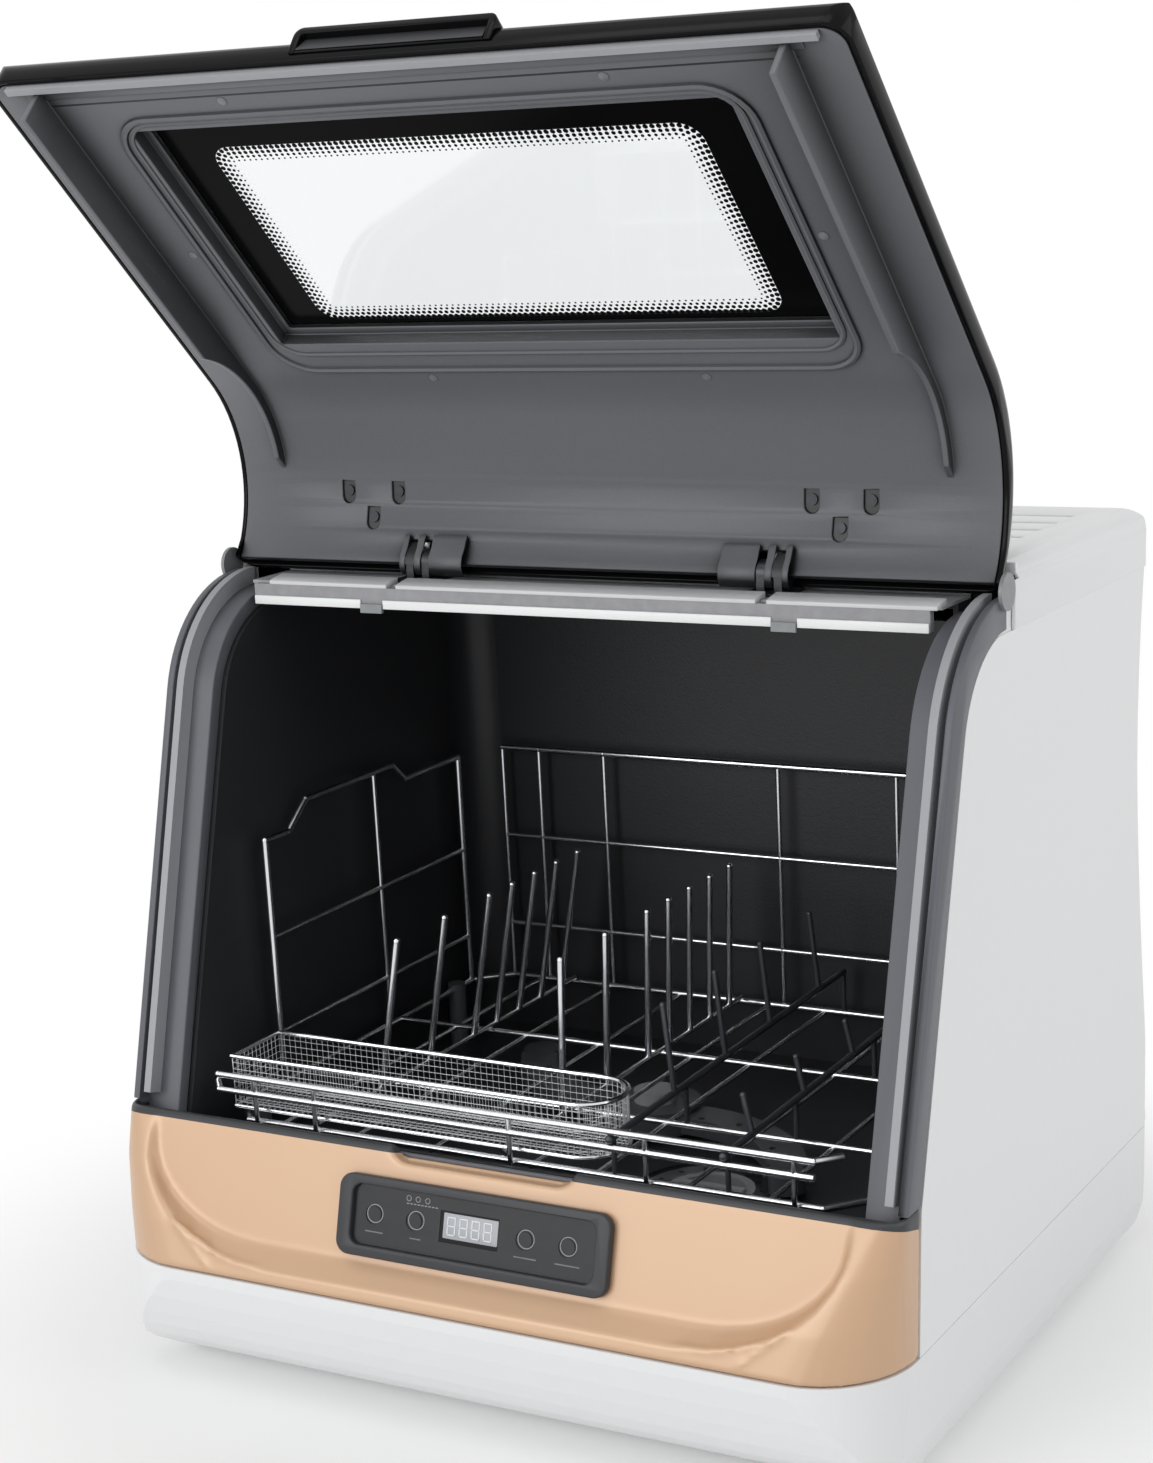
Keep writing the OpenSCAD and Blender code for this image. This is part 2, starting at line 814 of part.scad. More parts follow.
module filter_cup() {
  color("lightgray") placed() translate([sump_x, sump_y, 0]) difference() {
    union() {
      translate([0, 0, 58]) cylinder(h = tub_floor - 58.4, r = cup_r);
      translate([0, 0, tub_floor - 0.9]) cylinder(h = 1.6, r = cup_r + 2.5);
      translate([-cup_r + 1, -2, tub_floor - 12]) cube([2 * cup_r - 2, 4, 15]);
    }
    difference() {
      translate([0, 0, 60]) cylinder(h = 60, r = cup_r - 2);
      translate([-cup_r, -2, tub_floor - 12]) cube([2 * cup_r, 4, 15]);
    }
  }
}

module heater() {
  ring = 27.5;
  color("silver") placed() translate([sump_x, sump_y, 53]) union() {
    difference() {
      translate([0, 0, 7]) cylinder(h = 5, r = ring + 2.5);
      translate([0, 0, 6]) cylinder(h = 7, r = ring - 2.5);
    }
    for (a = [105, 75]) {
      translate([ring * cos(a), ring * sin(a), 0]) cylinder(h = 9, r = 2.2);
    }
  }
}

module wash_pump() {
  color("dimgray") placed() difference() {
    union() {
      rod([pump_x, sump_y, pump_z], [pump_x + pump_len, sump_y, pump_z], pump_r);
      rod([sump_x + sump_r - 1, sump_y, 60], [pump_x + 2, sump_y, 60], 7.9);
      rod([pump_x + 12, sump_y, pump_z + 10], [pump_x + 12, sump_y + 30, pump_z + 10], 7);
    }
    rod([pump_x + 2.5, sump_y, pump_z], [pump_x + 24, sump_y, pump_z], pump_r - 2.5);
    rod([pump_x + 23, sump_y, pump_z], [pump_x + 36, sump_y, pump_z], 2 + run_gap);
    rod([sump_x + sump_r - 2, sump_y, 60], [pump_x + 3, sump_y, 60], 5.5);
  }
}

module impeller(centre, r, wide, shaft_r, reach) {
  translate(centre) rotate([0, 90, 0]) union() {
    cylinder(h = 2, r = r);
    cylinder(h = reach, r = shaft_r);
    for (a = [0:60:300]) {
      rotate([0, 0, a]) translate([shaft_r - 0.5, -0.8, -wide]) cube([r - shaft_r, 1.6, wide + 1]);
    }
  }
}

module wash_impeller() {
  color("white") placed() impeller([pump_x + 18, sump_y, pump_z], pump_r - 5, 9, 2, 16);
}

module drain_pump() {
  color("dimgray") placed() difference() {
    union() {
      rod([drain_x - drain_len, sump_y, plug_z], [drain_x, sump_y, plug_z], drain_r);
      path([[sump_x - sump_r + 1, sump_y, 60], [sump_x - sump_r - 14, sump_y, 60],
        [drain_x - 8, sump_y, plug_z + 12]], 5.9);
    }
    rod([drain_x - 20, sump_y, plug_z], [drain_x - 2.5, sump_y, plug_z], drain_r - 2.5);
    rod([drain_x - 32, sump_y, plug_z], [drain_x - 19, sump_y, plug_z], 1.5 + run_gap);
  }
}

module drain_impeller() {
  color("white") placed() mirror([1, 0, 0]) {
    impeller([-drain_x + 14, sump_y, plug_z], drain_r - 5, 8, 1.5, 14);
  }
}

module feed_pipe() {
  color("dimgray") placed() path([
    [pump_x + 12, sump_y + 30, pump_z + 10], [pump_x + 12, sump_y + 38, pump_z + 10],
    [pump_x + 12, arm_y, 72], [0, arm_y, 72],
    [0, arm_y, tub_floor - tub_t]], 7);
}

module drain_hose() {
  color("gray") placed() hose([
    [drain_x - drain_len, sump_y, plug_z], [drain_x - drain_len - 24, sump_y, plug_z],
    [outlet_x, sump_y + 75, plug_z], [outlet_x, body_d - recess_deep - 8, plug_z]], 7);
}

module inlet_valve() {
  color("white") placed() union() {
    block([inlet_x - 14, body_d - 50, plug_z - 14], [inlet_x + 14, body_d - recess_deep - 2.5, plug_z + 14]);
    rod([inlet_x, body_d - 40, plug_z], [inlet_x, body_d - recess_deep + 0.5, plug_z], 13);
    rod([inlet_x, body_d - 40, plug_z], [inlet_x, body_d - 3, plug_z], 12.5);
    rod([inlet_x, body_d - 40, plug_z + 13], [inlet_x, body_d - 40, plug_z + 26], 9);
  }
}

module inlet_hose() {
  color("gray") placed() path([
    [inlet_x, body_d - 50, plug_z], [inlet_x, body_d - 60, plug_z], [inlet_x, sump_y + 110, plug_z + 4],
    [sump_x - 27, sump_y + 30, 66]], 6);
}

module drain_spigot() {
  color("black") placed() difference() {
    union() {
      rod([outlet_x, body_d - recess_deep - 8, plug_z], [outlet_x, body_d - recess_deep + 0.5, plug_z], 9);
      rod([outlet_x, body_d - recess_deep - 8, plug_z], [outlet_x, body_d - 2, plug_z], 8.5);
    }
    rod([outlet_x, body_d - recess_deep - 2, plug_z], [outlet_x, body_d, plug_z], 6.5);
  }
}

module power_inlet() {
  color("black") placed() difference() {
    union() {
      rod([mains_x, body_d - recess_deep - 8, plug_z], [mains_x, body_d - 8, plug_z], 8);
      rod([mains_x, body_d - recess_deep, plug_z], [mains_x, body_d - recess_deep + 3, plug_z], 11);
    }
    rod([mains_x, body_d - recess_deep - 9, plug_z], [mains_x, body_d, plug_z], 4);
  }
}

module power_board() {
  color("darkgreen") placed() union() {
    block([board_x, 86, 15], [board_x + 76, 174, 16.6]);
    block([board_x + 6, 100, 16.6], [board_x + 32, 126, 38]);
    rod([board_x + 58, 104, 16.6], [board_x + 58, 104, 40], 9);
    rod([board_x + 56, 130, 16.6], [board_x + 56, 130, 34], 6);
    block([board_x + 8, 140, 16.6], [board_x + 38, 160, 30]);
  }
}

module fan_housing() {
  color("black") placed() difference() {
    union() {
      translate([fan_x, fan_y, 55]) cylinder(h = 24, r = fan_r + 4);
      block([fan_x, fan_y - 10, 57], [tub_half + 3, fan_y + 10, 77]);
    }
    translate([fan_x, fan_y, 57]) cylinder(h = 20, r = fan_r + 2);
    block([fan_x, fan_y - 8, 59], [tub_half + 3.5, fan_y + 8, 75]);
    translate([fan_x, fan_y, 50]) difference() {
      cylinder(h = 10, r = fan_r - 8);
      cylinder(h = 10, r = 6);
      for (a = [0, 90]) {
        rotate([0, 0, a]) translate([-40, -1.5, 0]) cube([80, 3, 10]);
      }
    }
    translate([fan_x, fan_y, 50]) cylinder(h = 8, r = 1.5 + run_gap);
  }
}

module fan_duct() {
  color("black") placed() difference() {
    block([tub_half + 3, fan_y - 12, 56], [half_w - 4, fan_y + 12, 212]);
    block([tub_half + 2.5, fan_y - 8, 59], [tub_half + 5.5, fan_y + 8, 75]);
    block([tub_half + 4.8, fan_y - 10, 58], [half_w - 6, fan_y + 10, 210]);
    block([tub_half + 2.5, fan_y - 10, 176], [tub_half + 5.5, fan_y + 10, 200]);
  }
}

module fan_rotor() {
  color("gray") placed() translate([fan_x, fan_y, 59]) union() {
    translate([0, 0, -2]) cylinder(h = 10, r = 1.5);
    cylinder(h = 2, r = fan_r);
    for (a = [0:15:345]) {
      rotate([0, 0, a]) translate([fan_r - 8, -0.6, 1]) cube([7.5, 1.2, 14]);
    }
  }
}

module arm_spindle() {
  color("gray") placed() translate([0, arm_y, 0]) difference() {
    union() {
      translate([0, 0, tub_floor - tub_t]) cylinder(h = arm_z + 16 - tub_floor + tub_t, r = spindle_r);
      translate([0, 0, tub_floor]) cylinder(h = 4, r = 13);
    }
    translate([0, 0, tub_floor - 4]) cylinder(h = 40, r = spindle_r - 2);
  }
}

// One blade of the spray arm, drawn from above: an arc that sweeps outwards
module arm_blade() {
  intersection() {
    translate([arm_r / 2, -62]) difference() {
      circle(95);
      circle(75);
    }
    translate([0, -20]) square([arm_r - 11, 80]);
  }
  translate([arm_r - 10, 3]) circle(10);
}

module spray_arm() {
  color("dimgray") placed() translate([0, arm_y, 0]) rotate([0, 0, -32]) difference() {
    union() {
      translate([0, 0, arm_z]) linear_extrude(9) {
        arm_blade();
        rotate(180) arm_blade();
      }
      translate([0, 0, arm_z - 1]) cylinder(h = 13, r = 24);
    }
    translate([0, 0, arm_z - 3]) cylinder(h = 30, r = spindle_r + run_gap);
    for (turn = [0, 180], k = [0:4]) {
      rotate([0, 0, turn]) translate([32 + k * 19, 22 - 0.012 * pow(k * 19 - 33, 2), arm_z + 7]) {
        cylinder(h = 5, r = 1.8);
      }
    }
  }
}

module arm_cap() {
  color("gray") placed() translate([0, arm_y, arm_z + 12]) difference() {
    cylinder(h = 6, r = 11);
    translate([0, 0, -over]) cylinder(h = 5.4, r = spindle_r + run_gap);
  }
}

// Puts a lid drawing in its open place; y runs back to the hinge and z out of the lid
module on_lid() {
  translate([0, hinge_y, hinge_z]) rotate([open_tilt, 0, 0]) children();
}

// Section across the lid, moved in by an inset
module lid_section(inset) {
  half = lid_half - inset;
  top = skin_v - skin_bend_v - inset;
  r = 9 - inset;
  translate([-half, 52]) square([2 * half, top - r - 52]);
  translate([-half + r, 52]) square([2 * (half - r), top - 52]);
  for (side = [-1, 1]) {
    translate([side * (half - r), top - r]) circle(r);
  }
}

// Outer form of the lid, moved in by an inset
module lid_form(inset) {
  far = lid_len - inset;
  intersection() {
    union() {
      translate([0, -bend_u, skin_bend_v]) rotate([90, 0, 0]) {
        linear_extrude(far - bend_u) lid_section(inset);
      }
      intersection() {
        translate([0, -bend_u, skin_bend_v]) rotate([0, -90, 0]) rotate_extrude() {
          intersection() {
            rotate(-90) lid_section(inset);
            translate([0, -300]) square([200, 600]);
          }
        }
        translate([-300, -bend_u, skin_bend_v]) cube([600, 200, 200]);
      }
    }
    union() {
      translate([-lid_half, -far, -50]) cube([2 * lid_half, far + 50, 50 + skin_v - inset - 10]);
      translate([-lid_half, -far + 10, -50]) cube([2 * lid_half, far + 50, 250]);
      translate([0, -far + 10, skin_v - inset - 10]) rotate([0, 90, 0]) {
        cylinder(h = 2 * lid_half, r = 10, center = true);
      }
    }
    translate([0, 0, -50]) linear_extrude(200) {
      translate([-lid_half + inset, -lid_len + 12]) square([2 * (lid_half - inset), 400]);
      translate([-lid_half + 12, -far]) square([2 * (lid_half - 12), 400]);
      for (side = [-1, 1]) {
        translate([side * (lid_half - 12), -lid_len + 12]) circle(12 - inset);
      }
    }
  }
}

// Space on the inner side of a line that runs a height above the liner face
module liner_side(rise) {
  translate([-400, -200]) square([400 - bend_u, 200 + liner_v + rise]);
  translate([-bend_u, bend_v]) circle(liner_r + rise);
  translate([-bend_u - over, -400]) square([200, 400 + end_v]);
}

// Room that the hinge brackets need in the lid
module bracket_room() {
  for (side = [-1, 1]) {
    block([side * arm_x - 8.5, -8.5, -40], [side * arm_x + 8.5, 40, 8.5]);
    block([side * arm_x - 8.5, -40, -40], [side * arm_x + 8.5, 40, end_v]);
    rod([side * arm_x - 8.5, 0, 0], [side * arm_x + 8.5, 0, 0], 8.5);
  }
}

module lid_shell() {
  color("black") placed() on_lid() difference() {
    lid_form(0);
    lid_form(panel_t);
    bar_x(-300, 300) liner_side(0.2);
    bracket_room();
    translate([-window_half + 4, -window_far + 4, 50]) {
      cube([2 * window_half - 8, window_far - window_near - 8, 40]);
    }
  }
}

// Places of the hinge screws: distance across and angle round the bend
function screw_spots() = [[arm_x + 16.7, 41.2], [arm_x + 31.3, 31.1], [arm_x + 46.3, 41.2]];

module at_screw(side, spot) {
  translate([side * spot[0], -bend_u, bend_v]) rotate([spot[1] - 90, 0, 0]) children();
}

module lid_liner() {
  half = lid_half - panel_t - seat_gap;
  color("dimgray") placed() on_lid() difference() {
    union() {
      intersection() {
        bar_x(-half, half) difference() {
          liner_side(panel_t);
          liner_side(0);
        }
        translate([0, 0, end_v]) linear_extrude(200) {
          translate([-half, -lid_len + 12.2]) square([2 * half, lid_len + 30]);
          translate([-half + 9.2, -lid_len + 3]) square([2 * half - 18.4, lid_len + 30]);
          for (side = [-1, 1]) {
            translate([side * (half - 9.2), -lid_len + 12.2]) circle(9.2);
          }
        }
      }
      translate([-window_half - 2.5, -window_far - 2.5, liner_v]) {
        cube([2 * window_half + 5, window_far - window_near + 5, glass_v - liner_v + 1]);
      }
      for (side = [-1, 1]) {
        mirror([side < 0 ? 1 : 0, 0, 0]) bar_x(frame_inner - 7.5, frame_inner - 4.5) difference() {
          intersection() {
            union() {
              translate([-lid_len + 7, liner_v - rib_h]) square([lid_len - 7 - bend_u, rib_h + 1]);
              intersection() {
                translate([-bend_u, bend_v]) circle(liner_r + 1);
                translate([-bend_u, 0]) square([bend_u, 200]);
              }
            }
            translate([-300, 17.2]) square([300 - 17.6, 200]);
          }
          translate([-bend_u, bend_v]) circle(liner_r - 5);
          translate([-112.7, -50]) square([200, 50 + liner_v - rib_h]);
        }
      }
    }
    translate([-window_half + 4, -window_far + 4, 40]) {
      cube([2 * window_half - 8, window_far - window_near - 8, 60]);
    }
    translate([-window_half, -window_far, liner_v - over]) {
      cube([2 * window_half, window_far - window_near, glass_v - liner_v + over - 3]);
    }
    translate([-window_half, -window_far, glass_v]) {
      cube([2 * window_half, window_far - window_near, 10]);
    }
    for (side = [-1, 1], spot = screw_spots()) {
      at_screw(side, spot) {
        translate([0, 0, liner_r - 30]) cylinder(h = 60, r = screw_r + 0.2);
        translate([0, 0, liner_r - 2]) linear_extrude(2 + pocket_deep) {
          translate([0, 2.5]) circle(3.7);
          translate([-3.7, -5]) square([7.4, 7.5]);
        }
      }
    }
    bracket_room();
  }
}

module lid_glass() {
  color("lightblue", 0.4) placed() on_lid() {
    translate([-window_half + 0.3, -window_far + 0.3, glass_v]) {
      cube([2 * window_half - 0.6, window_far - window_near - 0.6, glass_t]);
    }
  }
}

module glass_print() {
  color("black") placed() on_lid() difference() {
    translate([-window_half + 4.3, -window_far + 4.3, glass_v - 0.2]) {
      cube([2 * window_half - 8.6, window_far - window_near - 8.6, 0.2]);
    }
    translate([-122, -221, 40]) cube([244, 115, 60]);
  }
}

// Outer face of the lid round its free edge
module free_edge() {
  block([-200, -lid_len, 0], [200, 0, skin_v - 10]);
  block([-200, -lid_len + 10, 0], [200, 0, skin_v]);
  rod([-200, -lid_len + 10, skin_v - 10], [200, -lid_len + 10, skin_v - 10], 10);
}

module lid_handle() {
  left = grip_x - grip_half;
  right = grip_x + grip_half;
  top = skin_v + 1.2;
  color("black") placed() on_lid() difference() {
    intersection() {
      union() {
        bar_x(left, right) polygon([
          [-lid_len + 16, skin_v - 1], [-lid_len + 16, top], [-lid_len - 2, top],
          [-lid_len - 2, top - 3.3], [-lid_len + 1.9, top - 3.5], [-lid_len - 1.1, skin_v - 11],
          [-lid_len - 0.9, skin_v - 12], [-lid_len + 1, skin_v - 12]]);
        for (x = [left, right - 3.5]) {
          bar_x(x, x + 3.5) polygon([
            [-lid_len + 5, top - 1], [-lid_len - 2, top - 1], [-lid_len - 2, top - 5],
            [-lid_len - 1.2, skin_v - 12], [-lid_len + 1, skin_v - 12]]);
        }
      }
      bar_y(-lid_len - 10, -lid_len + 20) {
        translate([left, 40]) square([right - left, top - 44]);
        translate([left + 4, 40]) square([right - left - 8, top - 40]);
        for (x = [left + 4, right - 4]) {
          translate([x, top - 4]) circle(4);
        }
      }
    }
    free_edge();
  }
}

module lid_gasket() {
  color("darkgray") placed() on_lid() {
    translate([-lid_half + 12, -lid_len + 3.2, liner_v - 2.7]) cube([2 * lid_half - 24, 3.2, 2.7]);
  }
}

module hinge_arm(side) {
  mirror([side < 0 ? 1 : 0, 0, 0]) difference() {
    union() {
      intersection() {
        bar_x(arm_x - 2.2, arm_x + arm_reach) translate([-bend_u, bend_v]) difference() {
          circle(liner_r + panel_t + 2.6);
          circle(liner_r + panel_t + 0.1);
        }
        union() {
          translate([arm_x - 2.2, -30, 0]) cube([4.4, 40, 16]);
          translate([arm_x - 2.2, -40, 11]) cube([arm_reach + 10, 50, 19]);
        }
      }
      rod([arm_x - 2.2, 0, 0], [arm_x + 2.2, 0, 0], knuckle_r);
    }
    rod([arm_x - 5, 0, 0], [arm_x + 5, 0, 0], pin_r + run_gap);
    for (spot = screw_spots()) {
      at_screw(1, spot) translate([0, 0, 40]) cylinder(h = 60, r = screw_r);
    }
  }
}

module hinge_arm_left() {
  color("silver") placed() on_lid() hinge_arm(-1);
}

module hinge_arm_right() {
  color("silver") placed() on_lid() hinge_arm(1);
}

module hinge_screws() {
  color("silver") placed() on_lid() for (side = [-1, 1], spot = screw_spots()) {
    at_screw(side, spot) union() {
      translate([0, 0, liner_r + pocket_deep - 1.3]) cylinder(h = 1.3, r = 2.7);
      translate([0, 0, liner_r + pocket_deep - 0.5]) cylinder(h = panel_t + 2, r = screw_r);
    }
  }
}

// Corners of the wire round the floor of the rack
function floor_loop(near, far) = [
  [rack_half - 18, near, rack_z], [rack_half, near + 20, rack_z],
  [rack_half, far - 18, rack_z], [rack_half - 18, far, rack_z], [18 - rack_half, far, rack_z],
  [-rack_half, far - 18, rack_z], [-rack_half, near + 20, rack_z], [18 - rack_half, near, rack_z]];

module rack_frame() {
  near = rack_near;
  right = across(156);
  color("silver") placed() union() {
    closed_path(floor_loop(near + 4, rack_far), wire_r);
    for (y = [along(138), along(232)]) {
      rod([-rack_half, y, rack_z], [rack_half, y, rack_z], thin_r + 0.2);
    }
    for (x = [-140, -95, -50, 6, 40, 88, 130]) {
      rod([across(x), near + 4, rack_z - thin_r], [across(x), rack_far, rack_z - thin_r], thin_r);
    }
    path([[right + 10, near + 10, 149], [right, near, 149], [-rack_half + 4, near, 149],
      [-rack_half, near + 4, 145], [-rack_half + 4, near, 141], [right, near, 141]], wire_r);
    for (x = [-150, -114.5, -2.6, 70.6, 146]) {
      rod([across(x), near, 149], [across(x), near, rack_z - 0.5], thin_r);
      rod([across(x), near - 1, rack_z], [across(x), near + 4, rack_z], thin_r - 0.1);
    }
  }
}

module rack_fences() {
  far = rack_far;
  half = rack_half - 18;
  color("silver") placed() union() {
    for (z = [157, 209.5, 261]) {
      rod([-half, far, z], [half, far, z], z == 261 ? wire_r : thin_r);
    }
    for (x = [-half, across(-134), across(-92), across(15.7), across(85), across(134), half]) {
      rod([x, far, rack_z + wire_r + 0.06], [x, far, 261], thin_r);
      translate([x, far, 261]) sphere(wire_r + 0.06);
    }
    for (x = [-rack_half, rack_half]) {
      path([[x, along(120), rack_z + wire_r], [x, along(120), 255], [x, along(141), 255],
        [x, along(158), 268], [x, along(240), 268], [x, along(252), 258], [x, along(308), 258],
        [x, along(308), rack_z + wire_r]], wire_r);
      rod([x, along(120), 203.5], [x, along(308), 203.5], thin_r);
      rod([x, along(120), 152], [x, along(308), 152], thin_r);
      rod([x, along(222), rack_z + wire_r], [x, along(222), 268], thin_r);
    }
  }
}

// Places of the tines, close together at the back
function tine_spots() = concat([along(122.5), along(168), along(213)],
  [for (k = [0:3]) along(237 + k * tine_pitch)]);

module rack_tines() {
  low = rack_z + wire_r + thin_r + 0.06;
  color("silver") placed() for (row = [[across(-116), 15], [across(-9), 3]]) {
    rod([row[0], rack_near + 4, low], [row[0], rack_far - 3, low], thin_r);
    for (y = tine_spots()) {
      rod([row[0], y, low], [row[0] + row[1], y, rack_z + tine_h], wire_r);
      translate([row[0] + row[1], y, rack_z + tine_h]) sphere(wire_r + 0.06);
    }
  }
}

// Height of a cup rail at a place along the rack
function cup_rail_z(y) = 145 + 4 * (y - rack_near) / (rack_far - rack_near);

// Row of prongs that lean inwards from a cup rail
module cup_prongs(x, places, top, inwards) {
  for (y = places) {
    rod([x, along(y), cup_rail_z(along(y))], [x - inwards, along(y), top], thin_r + 0.2);
    translate([x - inwards, along(y), top]) sphere(thin_r + 0.26);
  }
}

module cup_rails() {
  inner = across(52);
  outer = across(111);
  color("dimgray") placed() union() {
    for (x = [inner, outer]) {
      rod([x, rack_near, 145], [x, rack_far, 149], wire_r);
      translate([x, rack_near, 145]) sphere(wire_r + 0.3);
      for (y = [rack_near + 4, rack_far - 0.5]) {
        rod([x, y, rack_z + wire_r], [x, y, cup_rail_z(y)], thin_r);
      }
      for (y = x == inner ? [along(138)] : [along(138), along(232)]) {
        rod([x, y, rack_z + thin_r + 0.2], [x, y, cup_rail_z(y)], thin_r);
      }
    }
    cup_prongs(inner, [126, 182, 234.5, 295], 190, 4.5);
    cup_prongs(outer, [90, 148, 206, 265, 316], 164, 4);
  }
}

module rack_feet() {
  color("gray") placed() for (x = [-rack_half, rack_half], y = [along(98), along(292)]) {
    translate([x, y, 0]) difference() {
      translate([0, 0, tub_floor]) cylinder(h = rack_z - tub_floor + 3, r = 5);
      rod([0, -30, rack_z], [0, 30, rack_z], wire_r + 0.05);
    }
  }
}

// Plan of the cutlery basket, moved in by an inset
module basket_plan(inset) {
  r = basket_d / 2;
  near = rack_near + 6;
  translate([basket_x + inset, near + inset]) square([basket_w - r - inset, basket_d - 2 * inset]);
  translate([basket_x + basket_w - r, near + r]) circle(r - inset);
}

module cutlery_basket() {
  low = rack_z + 5;
  wide = 9;
  near = rack_near + 9;
  count = floor((basket_w - basket_d / 2 - 12) / wide);
  color("silver") placed() difference() {
    translate([0, 0, low]) linear_extrude(basket_h) basket_plan(0);
    translate([0, 0, low + 1.2]) linear_extrude(basket_h) basket_plan(1.2);
    translate([basket_x, 0, low]) {
      for (k = [0:count - 1]) {
        for (row = [0:2]) {
          block([5 + k * wide, near - 9, 2.4 + row * 8], [12 + k * wide, near + 51, 8.4 + row * 8]);
        }
        for (row = [0:3]) {
          block([5 + k * wide, near + row * 9, -over], [12 + k * wide, near + 7 + row * 9, 3]);
        }
      }
      for (k = [0:3], row = [0:2]) {
        block([-8, near + k * 9, 2.4 + row * 8], [7, near + 7 + k * 9, 8.4 + row * 8]);
      }
    }
  }
}

base_tray();
feet();
side_panel_left();
side_panel_right();
rear_panel();
top_cover();
front_fascia();
control_bezel();
control_overlay();
display_window();
control_board();
touch_springs();
front_frame();
frame_gasket();
tub();
top_rail();
seal_strip();
strip_clips();
hinge_bracket_left();
hinge_bracket_right();
hinge_pins();
hinge_end_caps();
sump();
filter_plate();
heater();
wash_pump();
drain_pump();
feed_pipe();
drain_hose();
inlet_hose();
inlet_valve();
drain_spigot();
power_inlet();
power_board();
fan_housing();
fan_duct();
arm_spindle();
case_screws();
wash_impeller();
drain_impeller();
fan_rotor();
filter_cup();
spray_arm();
arm_cap();
lid_shell();
lid_liner();
lid_glass();
glass_print();
lid_handle();
lid_gasket();
hinge_arm_left();
hinge_arm_right();
hinge_screws();
rack_frame();
rack_fences();
rack_tines();
cup_rails();
rack_feet();
cutlery_basket();
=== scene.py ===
import math

import bpy
from mathutils import Matrix, Vector


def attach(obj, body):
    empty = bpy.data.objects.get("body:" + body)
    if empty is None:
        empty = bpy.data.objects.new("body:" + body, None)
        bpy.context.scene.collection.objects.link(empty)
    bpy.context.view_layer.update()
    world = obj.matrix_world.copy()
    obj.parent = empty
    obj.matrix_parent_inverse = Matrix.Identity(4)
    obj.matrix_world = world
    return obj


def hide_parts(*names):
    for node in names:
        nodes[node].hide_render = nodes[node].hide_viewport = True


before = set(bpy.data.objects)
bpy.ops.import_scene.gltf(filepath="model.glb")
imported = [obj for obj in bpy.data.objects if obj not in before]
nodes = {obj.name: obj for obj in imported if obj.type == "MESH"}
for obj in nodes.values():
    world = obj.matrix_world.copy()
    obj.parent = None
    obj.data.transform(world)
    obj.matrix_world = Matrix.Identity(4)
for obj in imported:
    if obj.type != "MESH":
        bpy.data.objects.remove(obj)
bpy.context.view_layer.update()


# ---------------------------------------------------------------- places
# Sizes below are in millimetres unless a name or comment says otherwise.

MM = 0.001
BODY_DEPTH = 375
PANEL_TILT = 74.1        # degrees between the front panel's face and the worktop
LID_OPEN = -44.6         # degrees the lid is turned back at rest


def mm(values):
    return Vector(values) * MM


def place_at(x, y, z):
    return Matrix.Translation(mm((x, y, z)))


def tilt(degrees):
    return Matrix.Rotation(math.radians(degrees), 4, "X")


# Machine: y runs back from the body's front, z up from the worktop.
# Face: y runs up the front panel, z out of it.
# Lid, as it is when shut: y runs back to the hinge, z up out of the lid.
MACHINE = place_at(0, -BODY_DEPTH / 2, 0)
FACE = place_at(0, 29.5 - BODY_DEPTH / 2, 138) @ tilt(PANEL_TILT)
LID = place_at(0, 163 - BODY_DEPTH / 2, 394) @ tilt(LID_OPEN)
WORLD = Matrix.Identity(4)


# ---------------------------------------------------------------- node groups
# Distances in this section are in metres.

TONE_SCALE = 10.0
EDGE_FROM, EDGE_TO = 0.52, 0.62      # pointiness where a rim's edge colour starts and is full
EDGE_BREAKUP = 180.0
EDGE_ROUGHENING = 0.2
SLOW_WAVE_SCALE = 14.0
SLOW_WAVE = 0.2
GRAIN_DEPTH = 0.0004
# Painted shade where faces stand close together: its reach, samples and darkest value.
PAINTED_SHADE_REACH = 0.08
PAINTED_SHADE_SAMPLES = 8
DARKEST_PAINTED_SHADE = 0.1


def new_group(name, inputs, outputs):
    group = bpy.data.node_groups.new(name, "ShaderNodeTree")
    for title, kind, value in inputs:
        socket = group.interface.new_socket(name=title, in_out="INPUT", socket_type=kind)
        socket.default_value = value
    for title, kind in outputs:
        group.interface.new_socket(name=title, in_out="OUTPUT", socket_type=kind)
    return group, group.nodes.new("NodeGroupInput"), group.nodes.new("NodeGroupOutput")


def noise(tree, coords, scale, detail=3.0, rough=0.55):
    node = tree.nodes.new("ShaderNodeTexNoise")
    node.inputs["Detail"].default_value = detail
    node.inputs["Roughness"].default_value = rough
    if isinstance(scale, (int, float)):
        node.inputs["Scale"].default_value = scale
    else:
        tree.links.new(scale, node.inputs["Scale"])
    tree.links.new(coords, node.inputs["Vector"])
    return node.outputs["Fac"]


def calc(tree, how, a, b):
    node = tree.nodes.new("ShaderNodeMath")
    node.operation = how
    for slot, value in enumerate((a, b)):
        if isinstance(value, (int, float)):
            node.inputs[slot].default_value = value
        else:
            tree.links.new(value, node.inputs[slot])
    return node.outputs[0]


def object_coords(tree):
    return tree.nodes.new("ShaderNodeTexCoord").outputs["Object"]


